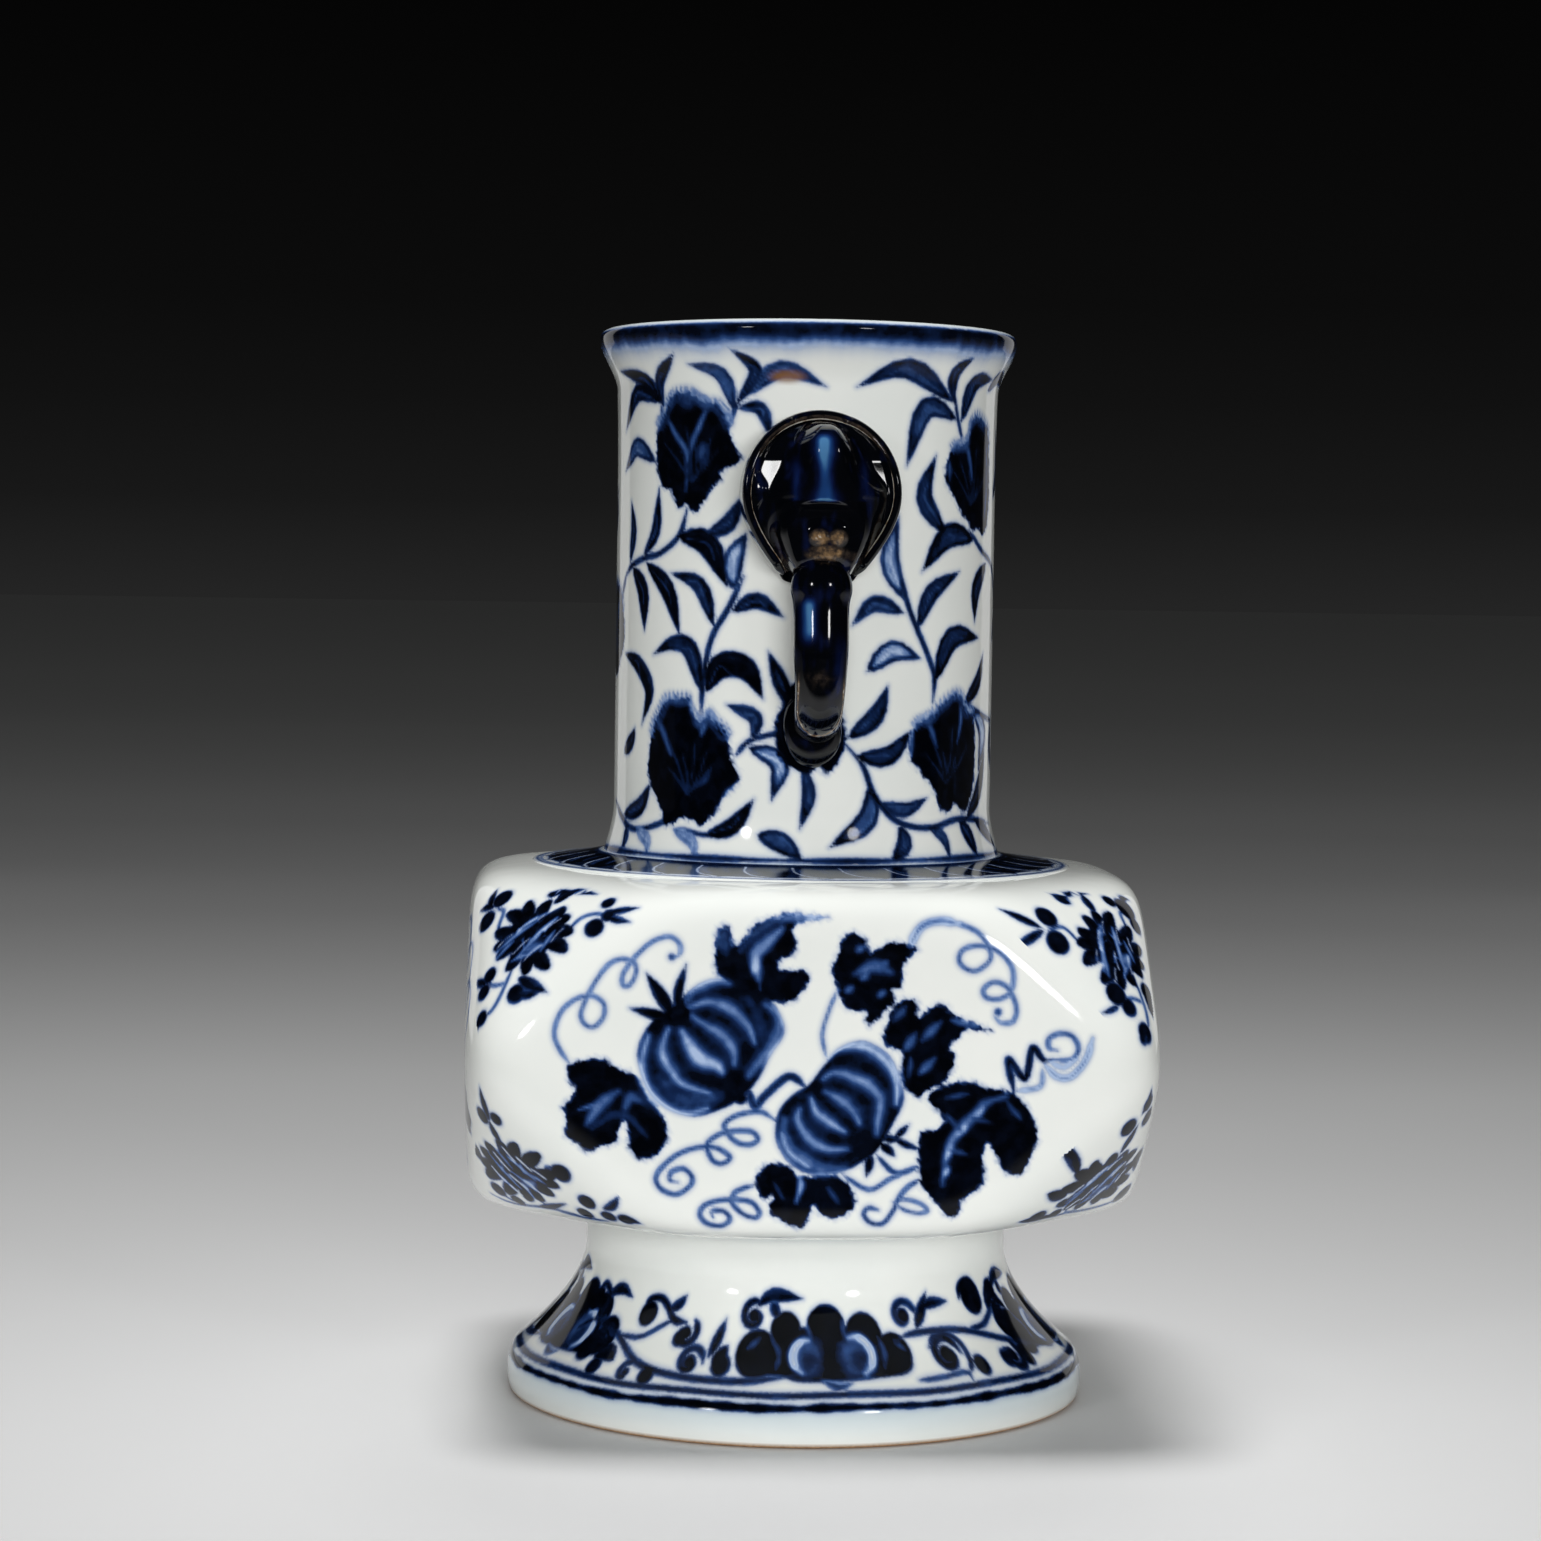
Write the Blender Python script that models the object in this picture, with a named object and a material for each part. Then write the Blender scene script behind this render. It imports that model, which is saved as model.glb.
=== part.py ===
"""Porcelain vase: a square body with cut corners, a round neck, a splayed foot and two elephant-head handles.

The pieces are the ones that a potter joins before the firing. The neck and the foot are thrown, the body is
pressed in two halves, and each handle is a moulded head with two ears, a trunk and the pad that ties the
trunk's tip to the neck. A thin gap for the slip that lutes them stands between neighbours.
Metres, +Z up, origin on the table under the middle of the foot. One handle faces -Y, the other +Y.
"""
import itertools
import math

import bmesh
import bpy
from mathutils import Vector

# Heights, stacked from the table up
FOOT_HEIGHT = 0.02775
BODY_HEIGHT = 0.04755
SHOULDER_RISE = 0.0014
NECK_LENGTH = 0.0733

# Body
BODY_WIDTH = 0.0936
CORNER_CUT = 0.0268
EDGE_ROUND = 0.0052
INNER_EDGE_ROUND = 0.0022
BODY_WALL = 0.0040
SHOULDER_RADIUS = 0.0378

# Neck
NECK_RADIUS = 0.0267
NECK_WALL = 0.0032
NECK_BASE_SPREAD = 0.0014
NECK_BASE_FLARE = 0.0066
NECK_SWELL = 0.0005
NECK_SWELL_LENGTH = 0.0220
LIP_SPREAD = 0.0023
LIP_FLARE = 0.0085
LIP_THICKNESS = 0.0026

# Foot
STEM_RADIUS = 0.0298
FOOT_RADIUS = 0.0409
FOOT_BAND_HEIGHT = 0.0064
FOOT_WIDEST_HEIGHT = 0.0025
FOOT_SOLE_ROUND = 0.0006
FOOT_BAND_ROUND = 0.0010
COVE_HEIGHT = 0.0144
FOOT_WALL = 0.0040

# Handles: places are measured down from the lip, reaches out from the neck's skin
HEAD_BELOW_LIP = 0.0235
HEAD_HALF_WIDTH = 0.0092
CROWN_HEIGHT = 0.0098
CHIN_DROP = 0.0122
CHIN_HALF_WIDTH = 0.0038
FOREHEAD_REACH = 0.0136
NOSE_REACH = 0.0153
CHIN_REACH = 0.0085
EAR_THICKNESS = 0.0015
EAR_REACH = 0.0082
EAR_DROP = 0.0112
TRUNK_THICKNESS = 0.0069
TRUNK_GAP = 0.0062
TRUNK_BEND_RADIUS = 0.0062
TRUNK_DROP = 0.0236
PAD_WIDTH = 0.0085
PAD_HEIGHT = 0.0108
PAD_DEPTH = 0.0030
PAD_BELOW_LIP = 0.0549

# Fits and fineness
LUTING_GAP = 0.0003
ROUND_STEPS = 48
EDGE_STEPS = 3
CURVE_STEPS = 8
HEAD_STEPS = 16
TRUNK_STEPS = 12

# Power of the sine and cosine in a head's arch: below 1 it is fuller than an ellipse
HEAD_FULLNESS = 0.85

# Levels that follow from the heights
BODY_MIDDLE = FOOT_HEIGHT + BODY_HEIGHT / 2
BODY_TOP = FOOT_HEIGHT + BODY_HEIGHT
SHOULDER_TOP = BODY_TOP + SHOULDER_RISE
LIP_TOP = SHOULDER_TOP + NECK_LENGTH
NECK_BASE_RADIUS = NECK_RADIUS + NECK_BASE_SPREAD
BORE_RADIUS = NECK_BASE_RADIUS - NECK_WALL
HEAD_LEVEL = LIP_TOP - HEAD_BELOW_LIP
PAD_LEVEL = LIP_TOP - PAD_BELOW_LIP


def smooth(t):
    """Ease from 0 to 1 as t goes from 0 to 1, level at both ends."""
    t = min(max(t, 0.0), 1.0)
    return t * t * (3.0 - 2.0 * t)


def spaced(start, end, count):
    """Count + 1 evenly spaced numbers from start to end."""
    return [start + (end - start) * i / count for i in range(count + 1)]


def glaze(name, colour, roughness):
    """A plain glazed finish of one colour."""
    material = bpy.data.materials.new(name)
    material.use_nodes = True
    shader = material.node_tree.nodes["Principled BSDF"]
    shader.inputs["Base Color"].default_value = (*colour, 1.0)
    shader.inputs["Roughness"].default_value = roughness
    shader.inputs["Metallic"].default_value = 0.0
    return material


def add_object(name, mesh):
    """Put a mesh into the scene as an object of its own."""
    piece = bpy.data.objects.new(name, mesh)
    bpy.context.scene.collection.objects.link(piece)
    return piece


def mesh_from(bm, name):
    """Turn a bmesh into a mesh with its faces pointing out, and free it."""
    bmesh.ops.recalc_face_normals(bm, faces=bm.faces)
    mesh = bpy.data.meshes.new(name)
    bm.to_mesh(mesh)
    bm.free()
    return mesh


def finish(piece, colour, roughness):
    """Give a piece its own glaze and smooth shading with its real edges kept."""
    piece.data.materials.append(glaze(piece.name, colour, roughness))
    piece.data.shade_smooth()
    piece.data.set_sharp_from_angle(angle=math.radians(35))


def as_cutter(piece):
    """Mark an object as a tool that only cuts others."""
    piece.display_type = "WIRE"
    piece.hide_render = True
    return piece


def combine(piece, other, operation):
    """Add a Boolean of another object to a piece."""
    modifier = piece.modifiers.new(f"{operation.lower()} {other.name}", "BOOLEAN")
    modifier.operation = operation
    modifier.solver = "EXACT"
    modifier.object = other


def turned(name, outline, closed):
    """Screw an outline of (radius, height) points, outer side first and downwards, round +Z."""
    count = len(outline)
    edges = [(i, i + 1) for i in range(count - 1)]
    if closed:
        edges.append((count - 1, 0))
    mesh = bpy.data.meshes.new(name)
    mesh.from_pydata([(radius, 0.0, height) for radius, height in outline], edges, [])
    piece = add_object(name, mesh)
    screw = piece.modifiers.new("turn", "SCREW")
    screw.angle = math.tau
    screw.steps = ROUND_STEPS
    screw.render_steps = ROUND_STEPS
    screw.use_merge_vertices = True
    screw.merge_threshold = 0.00001
    screw.use_smooth_shade = True
    return piece


def neck_radius_at(height):
    """Outer radius of the neck: a cylinder that swells a little upwards, with a fillet below and a lip above."""
    low = min(max(1.0 - (height - SHOULDER_TOP) / NECK_BASE_FLARE, 0.0), 1.0)
    swell = max(height - (LIP_TOP - NECK_SWELL_LENGTH), 0.0) / NECK_SWELL_LENGTH
    lip = smooth((height - (LIP_TOP - LIP_FLARE)) / (LIP_FLARE - LIP_THICKNESS / 2))
    return NECK_RADIUS + NECK_BASE_SPREAD * low ** 1.6 + NECK_SWELL * swell ** 2 + LIP_SPREAD * lip


def neck_heights():
    """Levels down the neck, from under the round of the lip to the seam, close together where it curves."""
    lip = spaced(LIP_TOP - LIP_THICKNESS / 2, LIP_TOP - LIP_FLARE, CURVE_STEPS)
    base = spaced(SHOULDER_TOP + NECK_BASE_FLARE, SHOULDER_TOP + LUTING_GAP, CURVE_STEPS // 2)
    return lip + [LIP_TOP - NECK_SWELL_LENGTH] + base


def make_neck():
    """Thrown tube with a rolled lip."""
    heights = neck_heights()
    outer = [(neck_radius_at(z), z) for z in heights]
    lip_round = LIP_THICKNESS / 2
    lip_middle = neck_radius_at(heights[0]) - lip_round
    lip = []
    for angle in spaced(math.pi, 0.0, 6)[1:-1]:
        lip.append((lip_middle + lip_round * math.cos(angle), heights[0] + lip_round * math.sin(angle)))
    inner = []
    for z in reversed(heights):
        lip_share = smooth(1.0 - (heights[0] - z) / LIP_FLARE)
        wall = NECK_WALL + (LIP_THICKNESS - NECK_WALL) * lip_share
        inner.append((neck_radius_at(z) - wall, z))
    inner[-1] = (lip_middle - lip_round, heights[0])
    return turned("neck", outer + inner + lip, closed=True)


def foot_radius_at(height):
    """Outer radius of the foot: a band that rounds in at its sole and its top, a hollow cove and a stem."""
    band_top_radius = FOOT_RADIUS - FOOT_BAND_ROUND
    if height < FOOT_WIDEST_HEIGHT:
        return FOOT_RADIUS - FOOT_SOLE_ROUND * (1.0 - height / FOOT_WIDEST_HEIGHT) ** 2
    if height < FOOT_BAND_HEIGHT:
        share = (height - FOOT_WIDEST_HEIGHT) / (FOOT_BAND_HEIGHT - FOOT_WIDEST_HEIGHT)
        return FOOT_RADIUS - FOOT_BAND_ROUND * share ** 3
    rise = min((height - FOOT_BAND_HEIGHT) / COVE_HEIGHT, 1.0)
    return STEM_RADIUS + (band_top_radius - STEM_RADIUS) * (1.0 - rise) ** 1.75


def make_foot():
    """Thrown ring that stands on a flat rim and is open through to the underside of the body."""
    top = FOOT_HEIGHT - LUTING_GAP
    cove_top = FOOT_BAND_HEIGHT + COVE_HEIGHT
    levels = [top] + spaced(cove_top, FOOT_BAND_HEIGHT, CURVE_STEPS)
    levels += spaced(FOOT_BAND_HEIGHT, FOOT_WIDEST_HEIGHT, 3)[1:] + [FOOT_WIDEST_HEIGHT / 2, 0.0]
    outer = [(foot_radius_at(z), z) for z in levels]
    inner = []
    for z in reversed(levels):
        inner.append((foot_radius_at(z) - FOOT_WALL, z))
    return turned("foot", outer + inner, closed=True)


def cut_corner_block(name, half_width, half_height, corner_cut, edge_round):
    """Square block, its eight corners cut off so that the cuts' tips meet halfway up, with round edges."""
    bm = bmesh.new()
    bmesh.ops.create_cube(bm, size=2.0)
    bmesh.ops.scale(bm, vec=(half_width, half_width, half_height), verts=bm.verts)
    for sx, sy, sz in itertools.product((1, -1), repeat=3):
        on_cut = Vector((sx * half_width, sy * (half_width - corner_cut), sz * half_height))
        outwards = Vector((sx / corner_cut, sy / corner_cut, sz / half_height)).normalized()
        everything = bm.verts[:] + bm.edges[:] + bm.faces[:]
        cut = bmesh.ops.bisect_plane(
            bm, geom=everything, plane_co=on_cut, plane_no=outwards, clear_outer=True, dist=0.000001)
        rim = [item for item in cut["geom_cut"] if isinstance(item, bmesh.types.BMEdge)]
        bmesh.ops.edgenet_fill(bm, edges=rim)
    bmesh.ops.remove_doubles(bm, verts=bm.verts, dist=0.000001)
    bmesh.ops.translate(bm, vec=(0.0, 0.0, BODY_MIDDLE), verts=bm.verts)
    bmesh.ops.bevel(
        bm, geom=bm.edges[:], offset=edge_round, offset_type="OFFSET", segments=EDGE_STEPS,
        profile=0.5, affect="EDGES", clamp_overlap=True)
    return add_object(name, mesh_from(bm, name))


def keep_side(piece, height, upward):
    """Cut a block level at a height, close the cut and keep one side of it."""
    bm = bmesh.new()
    bm.from_mesh(piece.data)
    normal = (0.0, 0.0, -1.0) if upward else (0.0, 0.0, 1.0)
    everything = bm.verts[:] + bm.edges[:] + bm.faces[:]
    cut = bmesh.ops.bisect_plane(
        bm, geom=everything, plane_co=(0.0, 0.0, height), plane_no=normal, clear_outer=True, dist=0.000001)
    rim = [item for item in cut["geom_cut"] if isinstance(item, bmesh.types.BMEdge)]
    bmesh.ops.edgenet_fill(bm, edges=rim)
    piece.data = mesh_from(bm, piece.name)


def make_body():
    """Two pressed shells that meet halfway up: the upper has the shoulder and the hole for the neck."""
    half_width = BODY_WIDTH / 2
    half_height = BODY_HEIGHT / 2
    facet = Vector((1.0 / CORNER_CUT, 1.0 / CORNER_CUT, 1.0 / half_height)).normalized()
    # The cut that leaves a wall of the same thickness behind each corner facet
    inner_cut = CORNER_CUT - BODY_WALL * (2.0 + (facet.z - 1.0) / facet.x)
    hollow = as_cutter(cut_corner_block(
        "body_hollow_cutter", half_width - BODY_WALL, half_height - BODY_WALL, inner_cut, INNER_EDGE_ROUND))
    upper = cut_corner_block("body_upper", half_width, half_height, CORNER_CUT, EDGE_ROUND)
    lower = cut_corner_block("body_lower", half_width, half_height, CORNER_CUT, EDGE_ROUND)
    keep_side(upper, BODY_MIDDLE + LUTING_GAP / 2, upward=True)
    keep_side(lower, BODY_MIDDLE - LUTING_GAP / 2, upward=False)

    seat_radius = NECK_BASE_RADIUS + LUTING_GAP
    shoulder_outline = [(0.0, SHOULDER_TOP)]
    for share in spaced(0.0, 1.0, 4):
        radius = seat_radius + (SHOULDER_RADIUS - seat_radius) * share
        shoulder_outline.append((radius, BODY_TOP + SHOULDER_RISE * (1.0 - share) ** 1.3))
    shoulder_outline += [(SHOULDER_RADIUS, BODY_TOP - BODY_WALL / 2), (0.0, BODY_TOP - BODY_WALL / 2)]
    shoulder = as_cutter(turned("shoulder_dome", shoulder_outline, closed=False))
    bore_outline = [
        (0.0, SHOULDER_TOP + NECK_WALL), (BORE_RADIUS, SHOULDER_TOP + NECK_WALL),
        (BORE_RADIUS, BODY_MIDDLE), (0.0, BODY_MIDDLE)]
    bore = as_cutter(turned("bore_cutter", bore_outline, closed=False))
    combine(upper, shoulder, "UNION")
    combine(upper, hollow, "DIFFERENCE")
    combine(upper, bore, "DIFFERENCE")
    combine(lower, hollow, "DIFFERENCE")
    return upper, lower


def loft(name, sections):
    """Skin a stack of closed sections that have equally many points, with a flat cap on both ends."""
    bm = bmesh.new()
    rings = [[bm.verts.new(point) for point in section] for section in sections]
    count = len(rings[0])
    for ring, following in zip(rings, rings[1:]):
        for i in range(count):
            j = (i + 1) % count
            bm.faces.new((ring[i], ring[j], following[j], following[i]))
    bm.faces.new(rings[0])
    bm.faces.new(reversed(rings[-1]))
    return add_object(name, mesh_from(bm, name))


def head_section(level, half_width, reach):
    """Level slice of a head: a full arch that bulges away from the neck and starts inside its wall."""
    root = NECK_RADIUS - NECK_WALL / 2
    points = []
    for angle in spaced(0.0, math.pi, HEAD_STEPS):
        side = math.copysign(abs(math.cos(angle)) ** HEAD_FULLNESS, math.cos(angle))
        front = math.sin(angle) ** HEAD_FULLNESS
        points.append((half_width * side, -root - (reach + NECK_WALL / 2) * front, level))
    return points


def head_form(name, grow, ear):
    """Elephant's head from crown to chin, or with ear set the hood that its two ears are cut from.

    Seen from the front the outline is half an ellipse above its widest level, and below it narrows to
    the chin along a cosine. Seen from the side the forehead is domed, the bridge of the nose stands
    out most, and the chin draws back. The hood is wider by the ears and stays behind the face.
    """
    rim = EAR_THICKNESS if ear else 0.0
    crown = CROWN_HEIGHT + rim + grow
    chin = (EAR_DROP if ear else CHIN_DROP) + grow
    widest = HEAD_HALF_WIDTH + rim + grow
    tip = CHIN_HALF_WIDTH + rim + grow
    sections = []
    for step in spaced(0.03, 1.0, CURVE_STEPS + 4):
        level = crown - (crown + chin) * step ** 1.5
        up = max(level, 0.0) / crown
        down = max(-level, 0.0) / chin
        dome = math.sqrt(1.0 - up * up)
        half_width = widest * dome if level > 0.0 else tip + (widest - tip) * math.cos(down * math.pi / 2)
        if ear:
            reach = EAR_REACH * dome * (1.0 - 0.5 * smooth(down))
        else:
            nose = smooth(1.0 - abs(level / CHIN_DROP + 0.3) / 0.5)
            reach = FOREHEAD_REACH * dome + (NOSE_REACH - FOREHEAD_REACH) * nose
            reach -= (FOREHEAD_REACH - CHIN_REACH) * smooth((down - 0.6) / 0.4)
        sections.append(head_section(HEAD_LEVEL + level, half_width, reach + grow))
    return loft(name, sections)


def trunk_path():
    """Middle line of the trunk: straight down from the face, then round to the neck."""
    out = -(NECK_RADIUS + TRUNK_GAP + TRUNK_THICKNESS / 2)
    bend_level = HEAD_LEVEL - TRUNK_DROP
    points = [(0.0, out, z) for z in spaced(HEAD_LEVEL - CHIN_DROP / 2, bend_level, CURVE_STEPS)]
    for angle in spaced(0.0, math.radians(75), CURVE_STEPS)[1:]:
        inwards = TRUNK_BEND_RADIUS * (1.0 - math.cos(angle))
        points.append((0.0, out + inwards, bend_level - TRUNK_BEND_RADIUS * math.sin(angle)))
    # The tip runs on past the pad's skin, which then cuts it
    tip = Vector(points[-1])
    heading = (tip - Vector(points[-2])).normalized()
    points.append(tuple(tip + heading * TRUNK_THICKNESS / 2))
    return points


def make_trunk(name):
    """Round bar bent along the trunk's path, a little thinner at its tip."""
    points = [Vector(point) for point in trunk_path()]
    sections = []
    for i, middle in enumerate(points):
        before = points[max(i - 1, 0)]
        after = points[min(i + 1, len(points) - 1)]
        across = Vector((1.0, 0.0, 0.0))
        outwards = across.cross(after - before).normalized()
        radius = TRUNK_THICKNESS / 2 * (1.0 - 0.12 * smooth((i - CURVE_STEPS) / CURVE_STEPS))
        ring = []
        for angle in spaced(0.0, math.tau, TRUNK_STEPS)[:-1]:
            ring.append(middle + radius * (across * math.cos(angle) + outwards * math.sin(angle)))
        sections.append(ring)
    return loft(name, sections)


def make_pad(name, grow):
    """Oval blob of clay on the neck's skin, under the trunk's tip."""
    bm = bmesh.new()
    bmesh.ops.create_uvsphere(bm, u_segments=20, v_segments=12, radius=1.0)
    half = (PAD_WIDTH / 2 + grow, PAD_DEPTH + grow, PAD_HEIGHT / 2 + grow)
    bmesh.ops.scale(bm, vec=half, verts=bm.verts)
    bmesh.ops.translate(bm, vec=(0.0, -NECK_RADIUS, PAD_LEVEL), verts=bm.verts)
    return add_object(name, mesh_from(bm, name))


def side_cutter(name, low, high):
    """Box between two corners, used to cut a piece off along flat planes."""
    bm = bmesh.new()
    bmesh.ops.create_cube(bm, size=1.0)
    low = Vector(low)
    high = Vector(high)
    bmesh.ops.scale(bm, vec=high - low, verts=bm.verts)
    bmesh.ops.translate(bm, vec=(low + high) / 2, verts=bm.verts)
    return as_cutter(add_object(name, mesh_from(bm, name)))


def make_handle(side, turn, neck_cutter):
    """One handle, its parts cut by their neighbours and all carried round the vase by an empty."""
    head = head_form(f"{side}_head", 0.0, ear=False)
    grown_head = as_cutter(head_form(f"{side}_head_cutter", LUTING_GAP, ear=False))
    pad = make_pad(f"{side}_trunk_pad", 0.0)
    grown_pad = as_cutter(make_pad(f"{side}_pad_cutter", LUTING_GAP))
    trunk = make_trunk(f"{side}_trunk")
    pieces = [head, trunk, pad]
    cutters = [grown_head, grown_pad]
    far = BODY_WIDTH / 2
    for ear_name, sign in (("left", -1), ("right", 1)):
        ear = head_form(f"{side}_ear_{ear_name}", 0.0, ear=True)
        low_x = -far if sign > 0 else -LUTING_GAP / 2
        high_x = LUTING_GAP / 2 if sign > 0 else far
        half = side_cutter(f"{side}_{ear_name}_half_cutter", (low_x, -far, 0.0), (high_x, 0.0, LIP_TOP))
        combine(ear, half, "DIFFERENCE")
        combine(ear, grown_head, "DIFFERENCE")
        combine(ear, neck_cutter, "DIFFERENCE")
        pieces.append(ear)
        cutters.append(half)
    combine(head, neck_cutter, "DIFFERENCE")
    combine(pad, neck_cutter, "DIFFERENCE")
    combine(trunk, grown_head, "DIFFERENCE")
    combine(trunk, grown_pad, "DIFFERENCE")

    place = bpy.data.objects.new(f"{side}_handle_place", None)
    bpy.context.scene.collection.objects.link(place)
    place.rotation_euler = (0.0, 0.0, turn)
    for item in pieces + cutters:
        item.parent = place
    return pieces


def make_neck_cutter():
    """The neck as a solid bar with the luting gap on it: it cuts each handle's seat."""
    heights = [LIP_TOP + NECK_WALL] + neck_heights()
    outline = [(0.0, heights[0])]
    outline += [(neck_radius_at(z) + LUTING_GAP, z) for z in heights]
    outline.append((0.0, heights[-1]))
    return as_cutter(turned("neck_cutter", outline, closed=False))


for old in list(bpy.data.objects):
    bpy.data.objects.remove(old)

WHITE_GLAZE = (0.80, 0.82, 0.80)
COBALT_GLAZE = (0.012, 0.020, 0.060)

for white_piece in (make_foot(), *make_body(), make_neck()):
    finish(white_piece, WHITE_GLAZE, 0.12)
seat_cutter = make_neck_cutter()
for handle_side, half_turn in (("front", 0.0), ("back", math.pi)):
    for blue_piece in make_handle(handle_side, half_turn, seat_cutter):
        finish(blue_piece, COBALT_GLAZE, 0.08)
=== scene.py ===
"""Looks of a small porcelain vase painted in underglaze blue: foot, body, neck, two elephant-head handles.

Every skin is worked out in millimetres and stored in metres. The drawing lives on the skins' vertices: each
brush stroke is a curve or an outline in millimetres on the flat, laid over the surface that it decorates.
"""

import math

import bpy
import numpy as np
from mathutils import Matrix


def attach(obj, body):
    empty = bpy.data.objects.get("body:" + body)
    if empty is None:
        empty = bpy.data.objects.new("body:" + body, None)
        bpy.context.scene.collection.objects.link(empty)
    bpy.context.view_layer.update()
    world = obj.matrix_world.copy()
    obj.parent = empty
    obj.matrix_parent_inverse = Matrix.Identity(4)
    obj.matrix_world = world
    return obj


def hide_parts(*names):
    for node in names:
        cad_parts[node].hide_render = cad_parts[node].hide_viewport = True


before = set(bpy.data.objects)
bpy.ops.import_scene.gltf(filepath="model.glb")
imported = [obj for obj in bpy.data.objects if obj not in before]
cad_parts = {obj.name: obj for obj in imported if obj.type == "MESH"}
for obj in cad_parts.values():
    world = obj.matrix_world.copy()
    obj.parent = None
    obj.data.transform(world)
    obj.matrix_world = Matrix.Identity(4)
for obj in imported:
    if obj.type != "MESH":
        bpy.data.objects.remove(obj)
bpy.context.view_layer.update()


# The foot is a thrown ring with a splayed base, dipped in clear glaze over its painted scrolls. The rim that
# it stands on is wiped bare before the firing, which leaves a thin brown line of burnt clay.
FOOT_TOP = 27.75
FOOT_WIDEST = 40.9
FOOT_BAND = 6.4
STEM = 29.8
FOOT_WALL = 4.0
FOOT_COLUMNS = 640
FOOT_ROWS = 112
FOOT_MEASURE = 35.0
UNPAINTED = -20.0
BLEED = 1.5


def smooth(t):
    """Ease from 0 to 1 as t goes from 0 to 1, level at both ends."""
    t = np.clip(t, 0.0, 1.0)
    return t * t * (3.0 - 2.0 * t)


def evenly(points, count):
    """Count points spaced evenly by length along the polyline through the given ones."""
    points = np.asarray(points, float)
    run = np.concatenate([[0.0], np.cumsum(np.hypot(*np.diff(points, axis=0).T))])
    at = np.linspace(0.0, run[-1], count)
    return np.stack([np.interp(at, run, points[:, 0]), np.interp(at, run, points[:, 1])], axis=1)


def turned(outline, columns, measure, up):
    """An outline of (radius, height) turned round the axis, and the unpainted ground on it.

    A point stands at x = r sin a, y = -r cos a, with a from 0. Its u is a times the radius measure, and its v
    is its row's entry in up.
    """
    angle = np.arange(columns) * (math.tau / columns)
    grid = (len(outline), columns)
    radius = outline[:, :1]
    height = np.broadcast_to(outline[:, 1:], grid)
    points = np.stack([radius * np.sin(angle), -radius * np.cos(angle), height], axis=2)
    u = np.broadcast_to(measure * angle, grid)
    return points, blank(u, np.broadcast_to(up[:, None], grid), around=measure * math.tau)


def ring_quads(rows, columns, first=0, wrap_rows=False):
    """Quads between neighbouring rings of a grid whose columns, and if asked whose rows, run round."""
    row = np.arange(rows if wrap_rows else rows - 1)[:, None]
    column = np.arange(columns)[None, :]
    above = row * columns
    below = (row + 1) % rows * columns
    after = (column + 1) % columns
    corners = [above + column, below + column, below + after, above + after]
    return np.stack([first + c for c in np.broadcast_arrays(*corners)], axis=2).reshape(-1, 4)


def add_piece(name, points, faces, fields, material):
    """Put a skin into the scene: points in mm, faces as index lists, fields as one number a vertex."""
    mesh = bpy.data.meshes.new(name)
    mesh.from_pydata((np.asarray(points).reshape(-1, 3) / 1000.0).tolist(), [], faces)
    for field, values in fields.items():
        layer = mesh.attributes.new(field, "FLOAT", "POINT")
        layer.data.foreach_set("value", np.ravel(values).astype(np.float32))
    mesh.materials.append(material)
    mesh.shade_smooth()
    piece = bpy.data.objects.new(name, mesh)
    bpy.context.scene.collection.objects.link(piece)
    return piece


def through(points, steps=5, closed=False):
    """Smooth curve through the points: a span's slope at its ends is half the chord across them."""
    p = np.asarray(points, float)
    if closed:
        p = np.concatenate([p[-1:], p, p[:2]])
    else:
        p = np.concatenate([2 * p[:1] - p[1:2], p, 2 * p[-1:] - p[-2:-1]])
    t = np.linspace(0.0, 1.0, steps, endpoint=False)[:, None, None]
    a, b, c, d = p[:-3], p[1:-2], p[2:-1], p[3:]
    curve = b + t / 2 * (c - a) + t * t * (a - 2.5 * b + 2 * c - d / 2)
    curve = (curve + t ** 3 / 2 * (3 * b - a - 3 * c + d)).transpose(1, 0, 2).reshape(-1, 2)
    return curve if closed else np.concatenate([curve, p[-2:-1]])


def blank(u, v, around=0.0):
    """Unpainted ground: u and v in mm on the flat, and around, how far a closed surface goes in u."""
    u = np.ravel(u)
    v = np.ravel(v)
    return {"u": u, "v": v, "around": around, "edge": np.full(u.shape, -BLEED), "wash": np.full(u.shape, 0.5)}


def under(ground, path, reach):
    """The vertices within reach of a stroke's box, and where they are, with u brought round to its side."""
    low = path.min(axis=0) - reach
    high = path.max(axis=0) + reach
    u = ground["u"]
    v = ground["v"]
    if ground["around"]:
        far_side = (low[0] + high[0] - ground["around"]) / 2
        u = far_side + (u - far_side) % ground["around"]
    where = np.flatnonzero((u > low[0]) & (u < high[0]) & (v > low[1]) & (v < high[1]))
    return where, np.stack([u[where], v[where]], axis=1)


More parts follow.
